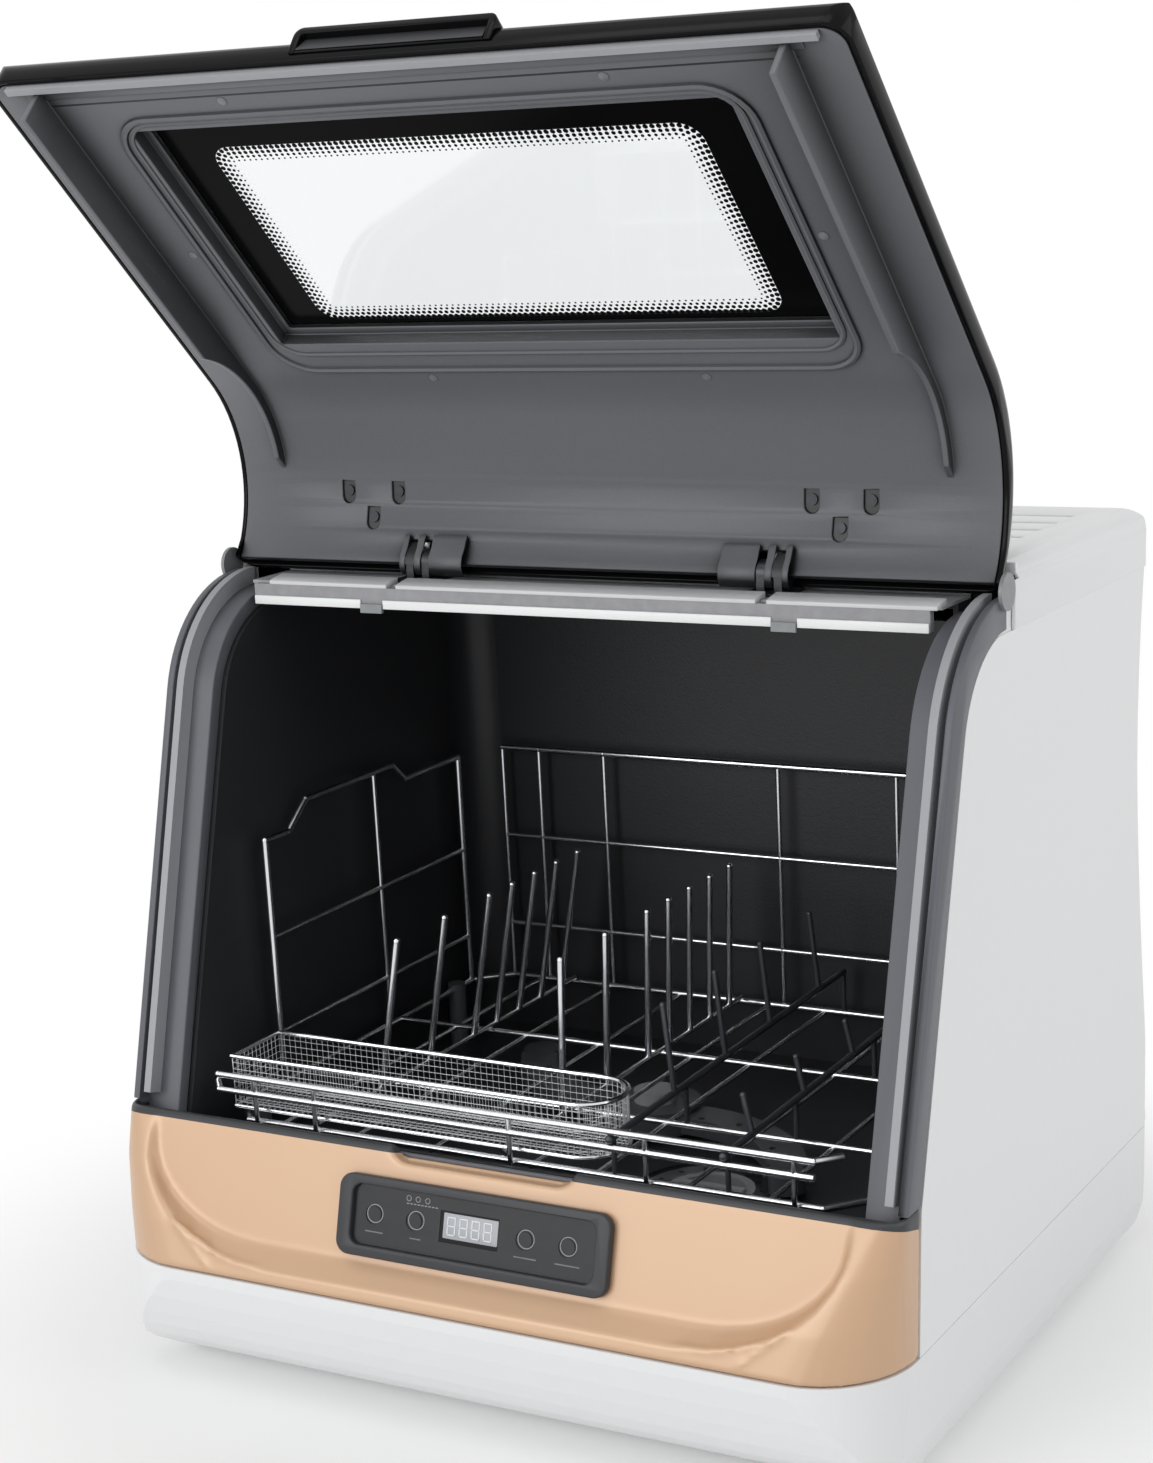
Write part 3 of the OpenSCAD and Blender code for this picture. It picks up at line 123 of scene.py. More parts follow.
def build_tone_group():
    """Base colour with slow unevenness and a broken paler line along rims."""
    group, given, out = new_group(
        "MouldedTone",
        [("Color", "NodeSocketColor", (0.5, 0.5, 0.5, 1)), ("Amount", "NodeSocketFloat", 0.05),
         ("Scale", "NodeSocketFloat", 12.0), ("Edge Color", "NodeSocketColor", (0.8, 0.8, 0.8, 1)),
         ("Edge Amount", "NodeSocketFloat", 0.2)],
        [("Color", "NodeSocketColor"), ("Edge", "NodeSocketFloat")])
    coords = object_coords(group)
    broad = noise(group, coords, given.outputs["Scale"], 4.0)
    shift = calc(group, "MULTIPLY", calc(group, "SUBTRACT", broad, 0.5), given.outputs["Amount"])
    value = calc(group, "ADD", 1.0, shift)
    hue = group.nodes.new("ShaderNodeHueSaturation")
    group.links.new(given.outputs["Color"], hue.inputs["Color"])
    group.links.new(value, hue.inputs["Value"])
    geometry = group.nodes.new("ShaderNodeNewGeometry")
    ramp = group.nodes.new("ShaderNodeMapRange")
    ramp.inputs["From Min"].default_value = EDGE_FROM
    ramp.inputs["From Max"].default_value = EDGE_TO
    group.links.new(geometry.outputs["Pointiness"], ramp.inputs["Value"])
    gaps = noise(group, coords, EDGE_BREAKUP, 2.0)
    broken = calc(group, "MULTIPLY", ramp.outputs["Result"], gaps)
    edge = calc(group, "MULTIPLY", broken, given.outputs["Edge Amount"])
    mix = group.nodes.new("ShaderNodeMix")
    mix.data_type = "RGBA"
    group.links.new(edge, mix.inputs["Factor"])
    group.links.new(hue.outputs["Color"], mix.inputs[6])
    group.links.new(given.outputs["Edge Color"], mix.inputs[7])
    group.links.new(mix.outputs[2], out.inputs["Color"])
    group.links.new(edge, out.inputs["Edge"])
    return group


def build_gloss_group():
    """Roughness with smudges, a little duller along rims."""
    group, given, out = new_group(
        "HandledGloss",
        [("Roughness", "NodeSocketFloat", 0.4), ("Spread", "NodeSocketFloat", 0.1),
         ("Scale", "NodeSocketFloat", 20.0), ("Edge", "NodeSocketFloat", 0.0)],
        [("Roughness", "NodeSocketFloat")])
    coords = object_coords(group)
    smudge = noise(group, coords, given.outputs["Scale"], 5.0, 0.65)
    shift = calc(group, "MULTIPLY", calc(group, "SUBTRACT", smudge, 0.5), given.outputs["Spread"])
    rough = calc(group, "ADD", given.outputs["Roughness"], shift)
    worn = calc(group, "MULTIPLY", given.outputs["Edge"], EDGE_ROUGHENING)
    group.links.new(calc(group, "ADD", rough, worn), out.inputs["Roughness"])
    return group


def build_grain_group():
    """Height of fine moulded grain on a slow wave."""
    group, given, out = new_group(
        "FineGrain",
        [("Scale", "NodeSocketFloat", 900.0), ("Wave", "NodeSocketFloat", SLOW_WAVE)],
        [("Height", "NodeSocketFloat")])
    coords = object_coords(group)
    fine = noise(group, coords, given.outputs["Scale"], 2.0)
    slow = noise(group, coords, SLOW_WAVE_SCALE, 1.0)
    wave = calc(group, "MULTIPLY", slow, given.outputs["Wave"])
    group.links.new(calc(group, "ADD", fine, wave), out.inputs["Height"])
    return group


def build_painted_shade_group():
    """Painted shade: colour that darkens where faces stand close to others."""
    group, given, out = new_group(
        "PaintedHollowShade",
        [("Color", "NodeSocketColor", (0.5, 0.5, 0.5, 1)), ("Amount", "NodeSocketFloat", 0.5)],
        [("Color", "NodeSocketColor")])
    closed = group.nodes.new("ShaderNodeAmbientOcclusion")
    closed.samples = PAINTED_SHADE_SAMPLES
    closed.inputs["Distance"].default_value = PAINTED_SHADE_REACH
    depth = calc(group, "SUBTRACT", 1.0, closed.outputs["AO"])
    share = calc(group, "MULTIPLY", depth, given.outputs["Amount"])
    value = calc(group, "MAXIMUM", calc(group, "SUBTRACT", 1.0, share), DARKEST_PAINTED_SHADE)
    hue = group.nodes.new("ShaderNodeHueSaturation")
    group.links.new(given.outputs["Color"], hue.inputs["Color"])
    group.links.new(value, hue.inputs["Value"])
    group.links.new(hue.outputs["Color"], out.inputs["Color"])
    return group


TONE = build_tone_group()
PAINTED_SHADE = build_painted_shade_group()
GLOSS = build_gloss_group()
GRAIN = build_grain_group()


# ---------------------------------------------------------------- finishes

def linear(code):
    parts = [int(code[i:i + 2], 16) / 255 for i in (1, 3, 5)]
    return [p / 12.92 if p <= 0.04045 else ((p + 0.055) / 1.055) ** 2.4 for p in parts] + [1.0]


def place_group(tree, group, **values):
    node = tree.nodes.new("ShaderNodeGroup")
    node.node_tree = group
    for title, value in values.items():
        node.inputs[title.replace("_", " ")].default_value = value
    return node


def finish_material(name, color, rough, metal=0.0, tone=0.06, spread=0.08, grain=900.0, bump=0.1,
                    edge="#ffffff", edge_amount=0.15, coat=0.0, coat_rough=0.05, coat_ior=1.5,
                    specular=0.5, painted_shade=0.0):
    material = bpy.data.materials.new(name)
    material.use_nodes = True
    tree = material.node_tree
    shader = tree.nodes["Principled BSDF"]
    shader.inputs["Metallic"].default_value = metal
    shader.inputs["Coat Weight"].default_value = coat
    shader.inputs["Coat Roughness"].default_value = coat_rough
    shader.inputs["Specular IOR Level"].default_value = specular
    shader.inputs["Coat IOR"].default_value = coat_ior
    tones = place_group(tree, TONE, Color=linear(color), Amount=tone, Scale=TONE_SCALE,
                        Edge_Color=linear(edge), Edge_Amount=edge_amount)
    gloss = place_group(tree, GLOSS, Roughness=rough, Spread=spread)
    grains = place_group(tree, GRAIN, Scale=grain, Wave=SLOW_WAVE)
    bumps = tree.nodes.new("ShaderNodeBump")
    bumps.inputs["Strength"].default_value = bump
    bumps.inputs["Distance"].default_value = GRAIN_DEPTH
    color_out = tones.outputs["Color"]
    # Painted shade darkens the colour where faces stand close together.
    if painted_shade:
        shades = place_group(tree, PAINTED_SHADE, Amount=painted_shade)
        tree.links.new(color_out, shades.inputs["Color"])
        color_out = shades.outputs["Color"]
    tree.links.new(color_out, shader.inputs["Base Color"])
    tree.links.new(tones.outputs["Edge"], gloss.inputs["Edge"])
    tree.links.new(gloss.outputs["Roughness"], shader.inputs["Roughness"])
    tree.links.new(grains.outputs["Height"], bumps.inputs["Height"])
    tree.links.new(bumps.outputs["Normal"], shader.inputs["Normal"])
    return material


white_plastic = finish_material("white_shell_plastic", "#eeeff0", 0.36, tone=0.015, bump=0.12,
                                coat=0.1)
rose_lacquer = finish_material("rose_gold_lacquer", "#cea783", 0.42, metal=0.15, tone=0.03,
                               bump=0.06, edge="#e0bfa4", coat=0.5, coat_rough=0.36, coat_ior=1.8)
dark_frame = finish_material("dark_frame_plastic", "#63646a", 0.42, bump=0.15, edge="#9a9ba0",
                             specular=0.4)
# The liner's colour carries painted shade in its recesses and valleys.
liner_grey = finish_material("liner_grey_plastic", "#6c6e73", 0.36, bump=0.15, edge="#8b8d92",
                             specular=0.4, painted_shade=1.9)
gloss_black = finish_material("gloss_black_plastic", "#0c0c0e", 0.16, bump=0.03, tone=0.1,
                              spread=0.04, edge="#2d2f33", specular=0.1)
matt_black = finish_material("matt_black_plastic", "#141517", 0.42, bump=0.2, edge="#55575a")
tub_black = finish_material("tub_black_plastic", "#2d2e31", 0.42, bump=0.25, edge="#55575a",
                            specular=0.35)
grey_rubber = finish_material("grey_seal_rubber", "#a2a4a8", 0.55, bump=0.2, edge="#b9bbbe")
foot_rubber = finish_material("foot_rubber", "#242425", 0.8, bump=0.6, edge="#55565a")
bright_plastic = finish_material("bright_strip_plastic", "#f6f7f7", 0.35, bump=0.1)
rail_grey = finish_material("rail_grey_plastic", "#a6a8ab", 0.4, bump=0.15, edge="#d5d6d8")
steel = finish_material("brushed_steel", "#b4b7bb", 0.28, metal=1.0, bump=0.2, grain=1400.0,
                        edge="#e8e8e8")
chrome = finish_material("chromed_wire", "#dfe1e4", 0.2, metal=1.0, bump=0.05, spread=0.1,
                         edge="#f2f2f2")
mesh_steel = finish_material("basket_mesh_steel", "#eceef0", 0.38, metal=0.7, bump=0.05)
screw_steel = finish_material("dark_screw_steel", "#2b2c2f", 0.4, metal=0.8, bump=0.1,
                              edge="#8a8c90")
dark_wire = finish_material("dark_coated_wire", "#3b3d42", 0.35, bump=0.2, edge="#77797e",
                            coat=0.2)
pump_grey = finish_material("pump_grey_plastic", "#5a5c60", 0.5, bump=0.3, edge="#8a8c90")
arm_grey = finish_material("spray_arm_plastic", "#4b4d52", 0.35, bump=0.15, edge="#85878c")
hose_grey = finish_material("hose_grey_rubber", "#85878a", 0.55, bump=0.5, grain=500.0)
board_green = finish_material("board_green", "#1d4a34", 0.45, bump=0.3, tone=0.2)
bezel_grey = finish_material("bezel_grey_plastic", "#393a3e", 0.4, bump=0.15, edge="#8a8b90",
                             specular=0.35)
overlay_grey = finish_material("overlay_grey_film", "#222326", 0.34, bump=0.08, edge="#67686c",
                               specular=0.3)
key_print = finish_material("key_print", "#9b9da0", 0.5, bump=0.05)
faint_print = finish_material("faint_print", "#5d5e62", 0.5, bump=0.05)
display_grey = finish_material("display_grey_film", "#a9acb1", 0.3, bump=0.05)
digit_white = finish_material("digit_white", "#dfe2e6", 0.3, bump=0.05)
print_black = finish_material("printed_black_enamel", "#0b0b0c", 0.16, bump=0.02, tone=0.02,
                              spread=0.02, edge_amount=0.0, specular=0.03)
liner_pale = finish_material("liner_pale_mark", "#6d6f74", 0.3, bump=0.1)
clip_grey = finish_material("clip_grey_plastic", "#7d8385", 0.3, bump=0.1)
ledge_white = finish_material("ledge_white_plastic", "#dadbdd", 0.3, bump=0.08)
seal_grey = finish_material("seal_grey_plastic", "#8b8b90", 0.35, bump=0.1)
dark_steel = finish_material("dark_hinge_steel", "#3a3b3e", 0.35, metal=0.8, bump=0.2,
                             edge="#77797c")
cap_grey = finish_material("cap_grey_plastic", "#808185", 0.38, bump=0.1)
sill_dark = finish_material("sill_dark_plastic", "#3b3c3f", 0.4, bump=0.1, specular=0.35)
scoop_grey = finish_material("scoop_grey_plastic", "#343537", 0.5, bump=0.15, edge="#4c4d50")


def glass_material():
    """Clear window glass with a faint tint and a few smudges."""
    material = bpy.data.materials.new("tinted_window_glass")
    material.use_nodes = True
    tree = material.node_tree
    shader = tree.nodes["Principled BSDF"]
    shader.inputs["Transmission Weight"].default_value = 1.0
    shader.inputs["IOR"].default_value = 1.45
    tones = place_group(tree, TONE, Color=linear("#f6f8f9"), Amount=0.02, Scale=6.0,
                        Edge_Color=linear("#dfe6ea"), Edge_Amount=0.1)
    gloss = place_group(tree, GLOSS, Roughness=0.03, Spread=0.02, Scale=15.0)
    tree.links.new(tones.outputs["Color"], shader.inputs["Base Color"])
    tree.links.new(gloss.outputs["Roughness"], shader.inputs["Roughness"])
    return material


window_glass = glass_material()

FINISHES = {
    white_plastic: ("base_tray", "side_panel_left", "side_panel_right", "rear_panel", "top_cover"),
    rose_lacquer: ("front_fascia",),
    dark_frame: ("front_frame",),
    bezel_grey: ("control_bezel",),
    overlay_grey: ("control_overlay",),
    print_black: ("glass_print",),
    clip_grey: ("strip_clips",),
    seal_grey: ("seal_strip",),
    liner_grey: ("lid_liner",),
    gloss_black: ("lid_shell", "lid_handle", "display_window"),
    cap_grey: ("hinge_end_caps",),
    dark_steel: ("hinge_bracket_left", "hinge_bracket_right", "hinge_pins"),
    matt_black: ("sump", "fan_housing", "fan_duct", "drain_spigot", "power_inlet"),
    tub_black: ("tub",),
    grey_rubber: ("frame_gasket", "lid_gasket"),
    foot_rubber: ("feet",),
    bright_plastic: ("inlet_valve",),
    rail_grey: ("top_rail", "filter_cup", "arm_cap", "arm_spindle", "fan_rotor", "wash_impeller",
                "drain_impeller"),
    screw_steel: ("hinge_screws",),
    steel: ("hinge_arm_left", "hinge_arm_right", "case_screws", "filter_plate", "heater",
            "touch_springs"),
    chrome: ("rack_frame", "rack_fences", "rack_tines", "cutlery_basket"),
    dark_wire: ("cup_rails",),
    pump_grey: ("wash_pump", "drain_pump", "feed_pipe", "rack_feet"),
    arm_grey: ("spray_arm",),
    hose_grey: ("drain_hose", "inlet_hose"),
    board_green: ("control_board", "power_board"),
    window_glass: ("lid_glass",),
}


def dress_nodes():
    """Gives every CAD node its material."""
    for material, names in FINISHES.items():
        for name in names:
            mesh = nodes[name].data
            mesh.materials.clear()
            mesh.materials.append(material)


dress_nodes()


# ---------------------------------------------------------------- modelling tools

def clear_selection():
    bpy.ops.object.select_all(action="DESELECT")


def add_block(name, low, high):
    low, high = mm(low), mm(high)
    clear_selection()
    bpy.ops.mesh.primitive_cube_add(size=1, location=(low + high) / 2)
    piece = bpy.context.object
    piece.name = name
    piece.scale = high - low
    bpy.ops.object.transform_apply(location=True, rotation=True, scale=True)
    return piece


def add_rod(name, low, high, radius, sides):
    low, high = mm(low), mm(high)
    along = high - low
    clear_selection()
    bpy.ops.mesh.primitive_cylinder_add(vertices=sides, radius=radius * MM, depth=along.length,
                                        location=(low + high) / 2)
    piece = bpy.context.object
    piece.name = name
    piece.rotation_euler = along.to_track_quat("Z", "Y").to_euler()
    bpy.ops.object.transform_apply(location=True, rotation=True, scale=True)
    return piece


def pick_edges(piece, wanted):
    bpy.ops.object.mode_set(mode="EDIT")
    bpy.ops.mesh.select_mode(type="EDGE")
    bpy.ops.mesh.select_all(action="DESELECT")
    bpy.ops.object.mode_set(mode="OBJECT")
    points = piece.data.vertices
    for edge in piece.data.edges:
        a, b = (points[i].co for i in edge.vertices)
        edge.select = wanted(a, b)
    bpy.ops.object.mode_set(mode="EDIT")


SAME_SPOT = 1e-6      # metres


def upright(a, b):
    return (a - b).xy.length < SAME_SPOT


def round_corners(piece, radius, segments=6, wanted=upright):
    pick_edges(piece, wanted)
    bpy.ops.mesh.bevel(offset=radius * MM, segments=segments, affect="EDGES")
    bpy.ops.object.mode_set(mode="OBJECT")


def apply_modifier(piece, kind, **settings):
    modifier = piece.modifiers.new(kind.title(), kind)
    for key, value in settings.items():
        setattr(modifier, key, value)
    clear_selection()
    piece.select_set(True)
    bpy.context.view_layer.objects.active = piece
    bpy.ops.object.modifier_apply(modifier=modifier.name)


def soften(piece, width, segments=2, angle=30, clamp=True):
    apply_modifier(piece, "BEVEL", width=width * MM, segments=segments, limit_method="ANGLE",
                   angle_limit=math.radians(angle), use_clamp_overlap=clamp)


def cut_away(piece, cutter):
    apply_modifier(piece, "BOOLEAN", operation="DIFFERENCE", object=cutter, solver="EXACT")
    bpy.data.objects.remove(cutter)


def join(name, pieces):
    clear_selection()
    for piece in pieces:
        piece.select_set(True)
    bpy.context.view_layer.objects.active = pieces[0]
    bpy.ops.object.join()
    pieces[0].name = name
    return pieces[0]


def copied(piece, matrix):
    """Copy with its own mesh, moved by the matrix."""
    twin = piece.copy()
    twin.data = piece.data.copy()
    twin.data.transform(matrix)
    bpy.context.collection.objects.link(twin)
    return twin


def round_slab(name, low, high, corner, soft):
    piece = add_block(name, low, high)
    round_corners(piece, corner)
    soften(piece, soft)
    return piece


def bent_bar(name, centre, size, corner, bar_radius, segments=8, rounded=lambda point: True):
    """Round bar along a level rectangle, with the corners that rounded() picks bent."""
    clear_selection()
    bpy.ops.mesh.primitive_plane_add(size=1, location=mm(centre))
    piece = bpy.context.object
    piece.name = name
    piece.scale = (size[0] * MM, size[1] * MM, 1)
    bpy.ops.object.transform_apply(location=True, rotation=True, scale=True)
    bpy.ops.object.mode_set(mode="EDIT")
    bpy.ops.mesh.select_mode(type="VERT")
    bpy.ops.mesh.select_all(action="DESELECT")
    bpy.ops.object.mode_set(mode="OBJECT")
    for point in piece.data.vertices:
        point.select = rounded(point.co)
    bpy.ops.object.mode_set(mode="EDIT")
    bpy.ops.mesh.bevel(offset=corner * MM, segments=segments, affect="VERTICES")
    bpy.ops.mesh.select_all(action="SELECT")
    bpy.ops.mesh.delete(type="ONLY_FACE")
    bpy.ops.object.mode_set(mode="OBJECT")
    bpy.ops.object.convert(target="CURVE")
    piece = bpy.context.object
    piece.data.bevel_depth = bar_radius * MM
    piece.data.bevel_resolution = 2
    bpy.ops.object.convert(target="MESH")
    return bpy.context.object


def add_profile(name, outline, low, high):
    """Bar from low to high across the machine with an outline in (y, z)."""
    clear_selection()
    bpy.ops.mesh.primitive_circle_add(vertices=len(outline), radius=1, fill_type="NGON")
    piece = bpy.context.object
    piece.name = name
    for point, (y, z) in zip(piece.data.vertices, outline):
        point.co = mm((low, y, z))
    bpy.ops.object.mode_set(mode="EDIT")
    bpy.ops.mesh.select_all(action="SELECT")
    bpy.ops.mesh.extrude_region_move(TRANSFORM_OT_translate={"value": mm((high - low, 0, 0))})
    bpy.ops.mesh.select_all(action="SELECT")
    bpy.ops.mesh.normals_make_consistent(inside=False)
    bpy.ops.object.mode_set(mode="OBJECT")
    return piece


def finish_piece(piece, material, body, place=MACHINE, stands_for=(), smooth=35):
    """Moves the piece to its place, dresses it and lets it ride on its body."""
    piece.data.transform(place)
    piece.data.materials.clear()
    piece.data.materials.append(material)
    clear_selection()
    piece.select_set(True)
    bpy.context.view_layer.objects.active = piece
    bpy.ops.object.shade_smooth_by_angle(angle=math.radians(smooth))
    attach(piece, body)
    if stands_for:
        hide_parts(*stands_for)
    return piece


MERGE_DISTANCE = 2e-6      # metres
FLAT_ENOUGH = 0.6          # degrees between faces that become one
SKIN_BEVEL_ANGLE = 28      # degrees


def soft_copy(name, node_name, body, material, width, segments=2):
    """Copy of a CAD node with softened edges, shown in its place."""
    node = nodes[node_name]
    piece = node.copy()
    piece.data = node.data.copy()
    piece.name = name
    bpy.context.collection.objects.link(piece)
    clear_selection()
    piece.select_set(True)
    bpy.context.view_layer.objects.active = piece
    bpy.ops.object.mode_set(mode="EDIT")
    bpy.ops.mesh.select_all(action="SELECT")
    bpy.ops.mesh.remove_doubles(threshold=MERGE_DISTANCE)
    bpy.ops.mesh.dissolve_limited(angle_limit=math.radians(FLAT_ENOUGH))
    bpy.ops.object.mode_set(mode="OBJECT")
    soften(piece, width, segments, SKIN_BEVEL_ANGLE, clamp=False)
    return finish_piece(piece, material, body, WORLD, (node_name,))


# ---------------------------------------------------------------- control panel

OVERLAY_TOP = 1.6
PRINT_RISE = 0.1
KEY_RING = (4.3, 0.25, 36)               # radius, radius of the line, steps
KEY_LEVEL = -32.5
KEYS = ((-54, 10), (-31, 6), (28.8, 12), (51.2, 13))      # x, length of the line under the key
KEY_LINE_LOW, KEY_LINE_HIGH = -41.6, -41.0
INDICATOR_RING = (1.25, 0.2, 16)
INDICATORS = (-36, -30.9, -25.6)
INDICATOR_LEVEL = -22.6
DASHES = range(-37, -20, 2)
DASH_LENGTH, DASH_LOW, DASH_HIGH = 1.3, -25.3, -24.9
SCREEN_LOW, SCREEN_HIGH = (-15.9, -38.4, 1), (13.7, -26.4, OVERLAY_TOP + 0.25)
SCREEN_CORNER, SCREEN_EDGE = 0.5, 0.1
DIGIT_RISE = 0.45
DIGIT_START, DIGIT_FOOT, DIGIT_PITCH, DIGIT_COUNT = -13.8, -36.8, 6.6, 4
DIGIT_BARS = ((0, 0, 4.6, 0.6), (0, 4.1, 4.6, 0.6), (0, 8.2, 4.6, 0.6),      # x, y, width, height
              (0, 0, 0.6, 4.2), (0, 4.2, 0.6, 4.4), (4, 0, 0.6, 4.2), (4, 4.2, 0.6, 4.4))


def printed_rings(spots, radius, line, steps):
    clear_selection()
    bpy.ops.mesh.primitive_torus_add(major_radius=radius * MM, minor_radius=line * MM,
                                     major_segments=steps, minor_segments=6)
    ring = bpy.context.object
    rings = [copied(ring, place_at(x, y, OVERLAY_TOP)) for x, y in spots]
    bpy.data.objects.remove(ring)
    return rings


def key_rings():
    rings = printed_rings([(x, KEY_LEVEL) for x, _ in KEYS], *KEY_RING)
    finish_piece(join("touch_key_rings", rings), key_print, "machine", FACE)


def indicator_marks():
    marks = printed_rings([(x, INDICATOR_LEVEL) for x in INDICATORS], *INDICATOR_RING)
    for x in DASHES:
        marks.append(add_block("dash", (x, DASH_LOW, OVERLAY_TOP - PRINT_RISE),
                               (x + DASH_LENGTH, DASH_HIGH, OVERLAY_TOP + PRINT_RISE)))
    finish_piece(join("indicator_marks", marks), key_print, "machine", FACE)


def key_underlines():
    lines = [add_block("line", (x - length / 2, KEY_LINE_LOW, OVERLAY_TOP - PRINT_RISE),
                       (x + length / 2, KEY_LINE_HIGH, OVERLAY_TOP + PRINT_RISE / 2))
             for x, length in KEYS]
    finish_piece(join("key_underlines", lines), faint_print, "machine", FACE)


def display():
    screen = round_slab("display_screen", SCREEN_LOW, SCREEN_HIGH, SCREEN_CORNER, SCREEN_EDGE)
    finish_piece(screen, display_grey, "machine", FACE)
    bars = []
    for place in range(DIGIT_COUNT):
        left = DIGIT_START + place * DIGIT_PITCH
        for x, y, width, height in DIGIT_BARS:
            bars.append(add_block("bar", (left + x, DIGIT_FOOT + y, OVERLAY_TOP),
                                  (left + x + width, DIGIT_FOOT + y + height,
                                   OVERLAY_TOP + DIGIT_RISE)))
    finish_piece(join("display_digits", bars), digit_white, "machine", FACE)


# ---------------------------------------------------------------- lid window

GLASS_LEVEL = 62.5                       # inner face of the glass, z of the lid
PRINT_TOP, PRINT_UNDER = GLASS_LEVEL - 0.05, GLASS_LEVEL - 0.25
PRINT_HALF, PRINT_NEAR, PRINT_FAR = 142.7, 105.3, 239.7
CLEAR_HALF, CLEAR_NEAR, CLEAR_FAR, CLEAR_CORNER = 122, 108, 223, 11
HALFTONE_ROWS = ((1.3, 1.25), (3.9, 1.05), (6.3, 0.8), (8.5, 0.5))      # depth, dot radius
HALFTONE_PITCH = 3.1
HALFTONE_CORNER = 2.5                    # least corner radius of a row
DOT_SIDES, DOT_THICKNESS, DOT_LEVEL = 8, 0.15, GLASS_LEVEL - 0.15
# name, half width, near and far edge, corner radius, bead radius, level
WINDOW_BEADS = (("window_bead_outer", 155, 82.5, 251, 20, 2.0, 53.4),
                ("window_bead_inner", 150.5, 94, 248, 15, 1.6, 53.6))


def window_print():
    border = add_block("window_print", (-PRINT_HALF, -PRINT_FAR, PRINT_UNDER),
                       (PRINT_HALF, -PRINT_NEAR, PRINT_TOP))
    hole = add_block("hole", (-CLEAR_HALF, -CLEAR_FAR, GLASS_LEVEL - 5),
                     (CLEAR_HALF, -CLEAR_NEAR, GLASS_LEVEL + 5))
    round_corners(hole, CLEAR_CORNER, 8)
    cut_away(border, hole)
    finish_piece(border, print_black, "lid", LID, ("glass_print",))


def round_loop(half, low, high, corner, pitch):
    """Evenly spaced places along a rectangle with round corners."""
    straight_x, straight_y = 2 * (half - corner), high - low - 2 * corner
    arc = math.pi / 2 * corner
    total = 2 * (straight_x + straight_y + 2 * arc)
    count = round(total / pitch)
    legs = ((straight_x, (-half + corner, low), 0), (straight_y, (half, low + corner), 90),
            (straight_x, (half - corner, high), 180), (straight_y, (-half, high - corner), 270))
    places = []
    for k in range(count):
        run = (k + 0.5) * total / count
        for length, start, heading in legs:
            turn = math.radians(heading)
            ahead = Vector((math.cos(turn), math.sin(turn)))
            if run < length:
                places.append(Vector(start) + ahead * run)
                break
            run -= length
            if run < arc:
                side = Vector((-ahead.y, ahead.x))
                centre = Vector(start) + ahead * length + side * corner
                bend = run / corner
                places.append(centre + (ahead * math.sin(bend) - side * math.cos(bend)) * corner)
                break
            run -= arc
    return places


def halftone_border():
    """Rows of shrinking dots that fade the window print into the clear glass."""
    dots = []
    for depth, radius in HALFTONE_ROWS:
        clear_selection()
        bpy.ops.mesh.primitive_cylinder_add(vertices=DOT_SIDES, radius=radius * MM,
                                            depth=DOT_THICKNESS * MM)
        dot = bpy.context.object
        spots = round_loop(CLEAR_HALF - depth, -CLEAR_FAR + depth, -CLEAR_NEAR - depth,
                           max(CLEAR_CORNER - depth, HALFTONE_CORNER), HALFTONE_PITCH)
        dots += [copied(dot, place_at(spot.x, spot.y, DOT_LEVEL)) for spot in spots]
        bpy.data.objects.remove(dot)
    finish_piece(join("halftone_dots", dots), print_black, "lid", LID)


def window_beads():
    for name, half, near, far, corner, bead_radius, level in WINDOW_BEADS:
        centre, size = (0, -(near + far) / 2, level), (2 * half, far - near)
        bead = bent_bar(name, centre, size, corner, bead_radius)
        finish_piece(bead, liner_grey, "lid", LID)


# ---------------------------------------------------------------- lid liner

LINER_FACE = 53
MARK_RADIUS, MARK_SIDES = 2.3, 20
MOULDING_MARKS = ((-161, -165), (161, -165), (-73, -76), (73, -76), (-88, -259), (98, -259))
BEND_CENTRE = (0, -73, -19)              # axis of the liner's bend towards the hinge
BEND_RADIUS = 72
SCREW_PLACES = ((112.7, 41.2), (127.3, 31.1), (142.3, 41.2))      # x, degrees along the bend
# Outline of the thin black plates painted as the shade inside the screw pockets.
POCKET_HALF, POCKET_CORNER = 3.6, 3.5
POCKET_LOW, POCKET_HIGH = (-4.9, BEND_RADIUS + 1.2), (6.1, BEND_RADIUS + 1.4)      # along, outwards
COVER_LINE = ((-9.2, 9.6), (-8.9, 7), (-7.6, 3), (-7.1, -1.4), (-6.0, -4.2), (-4.4, -6.3),
              (-2.0, -7.8), (0.5, -8.2), (0.5, -7.4), (-1.8, -7.1), (-3.9, -5.7), (-5.4, -3.8),
              (-6.45, -1.2), (-6.9, 3), (-7.3, 9.6))
COVER_SPANS = ((70, 89.2), (93.8, 97.6), (102.9, 106))
# Outline and span of the matt black fill painted as the shade in the slot between the ribs.
COVER_SLOT_SHADE_LINE = ((-6.4, 6.8), (-6.9, 1), (-6.2, -3.2), (-4.5, -5.4), (-4.5, 6.8))
COVER_SLOT_SHADE_SPAN = (97.4, 103.1)
SCOOP_LINE = ((-276.75, 66.0), (-279.8, 57.6), (-279.95, 57.66), (-276.9, 66.06))
SCOOP_SPAN = (-40.3, 50.3)
STEP_LOW, STEP_HIGH = (-188, -271.6, LINER_FACE - 0.8), (188, -266.5, LINER_FACE + 0.2)
# Extent of the black strip painted as the shade in the liner's groove.
GROOVE_SHADE_LOW, GROOVE_SHADE_HIGH = (-184, -262.6, LINER_FACE - 0.1), (184, -261.8, LINER_FACE + 0.1)


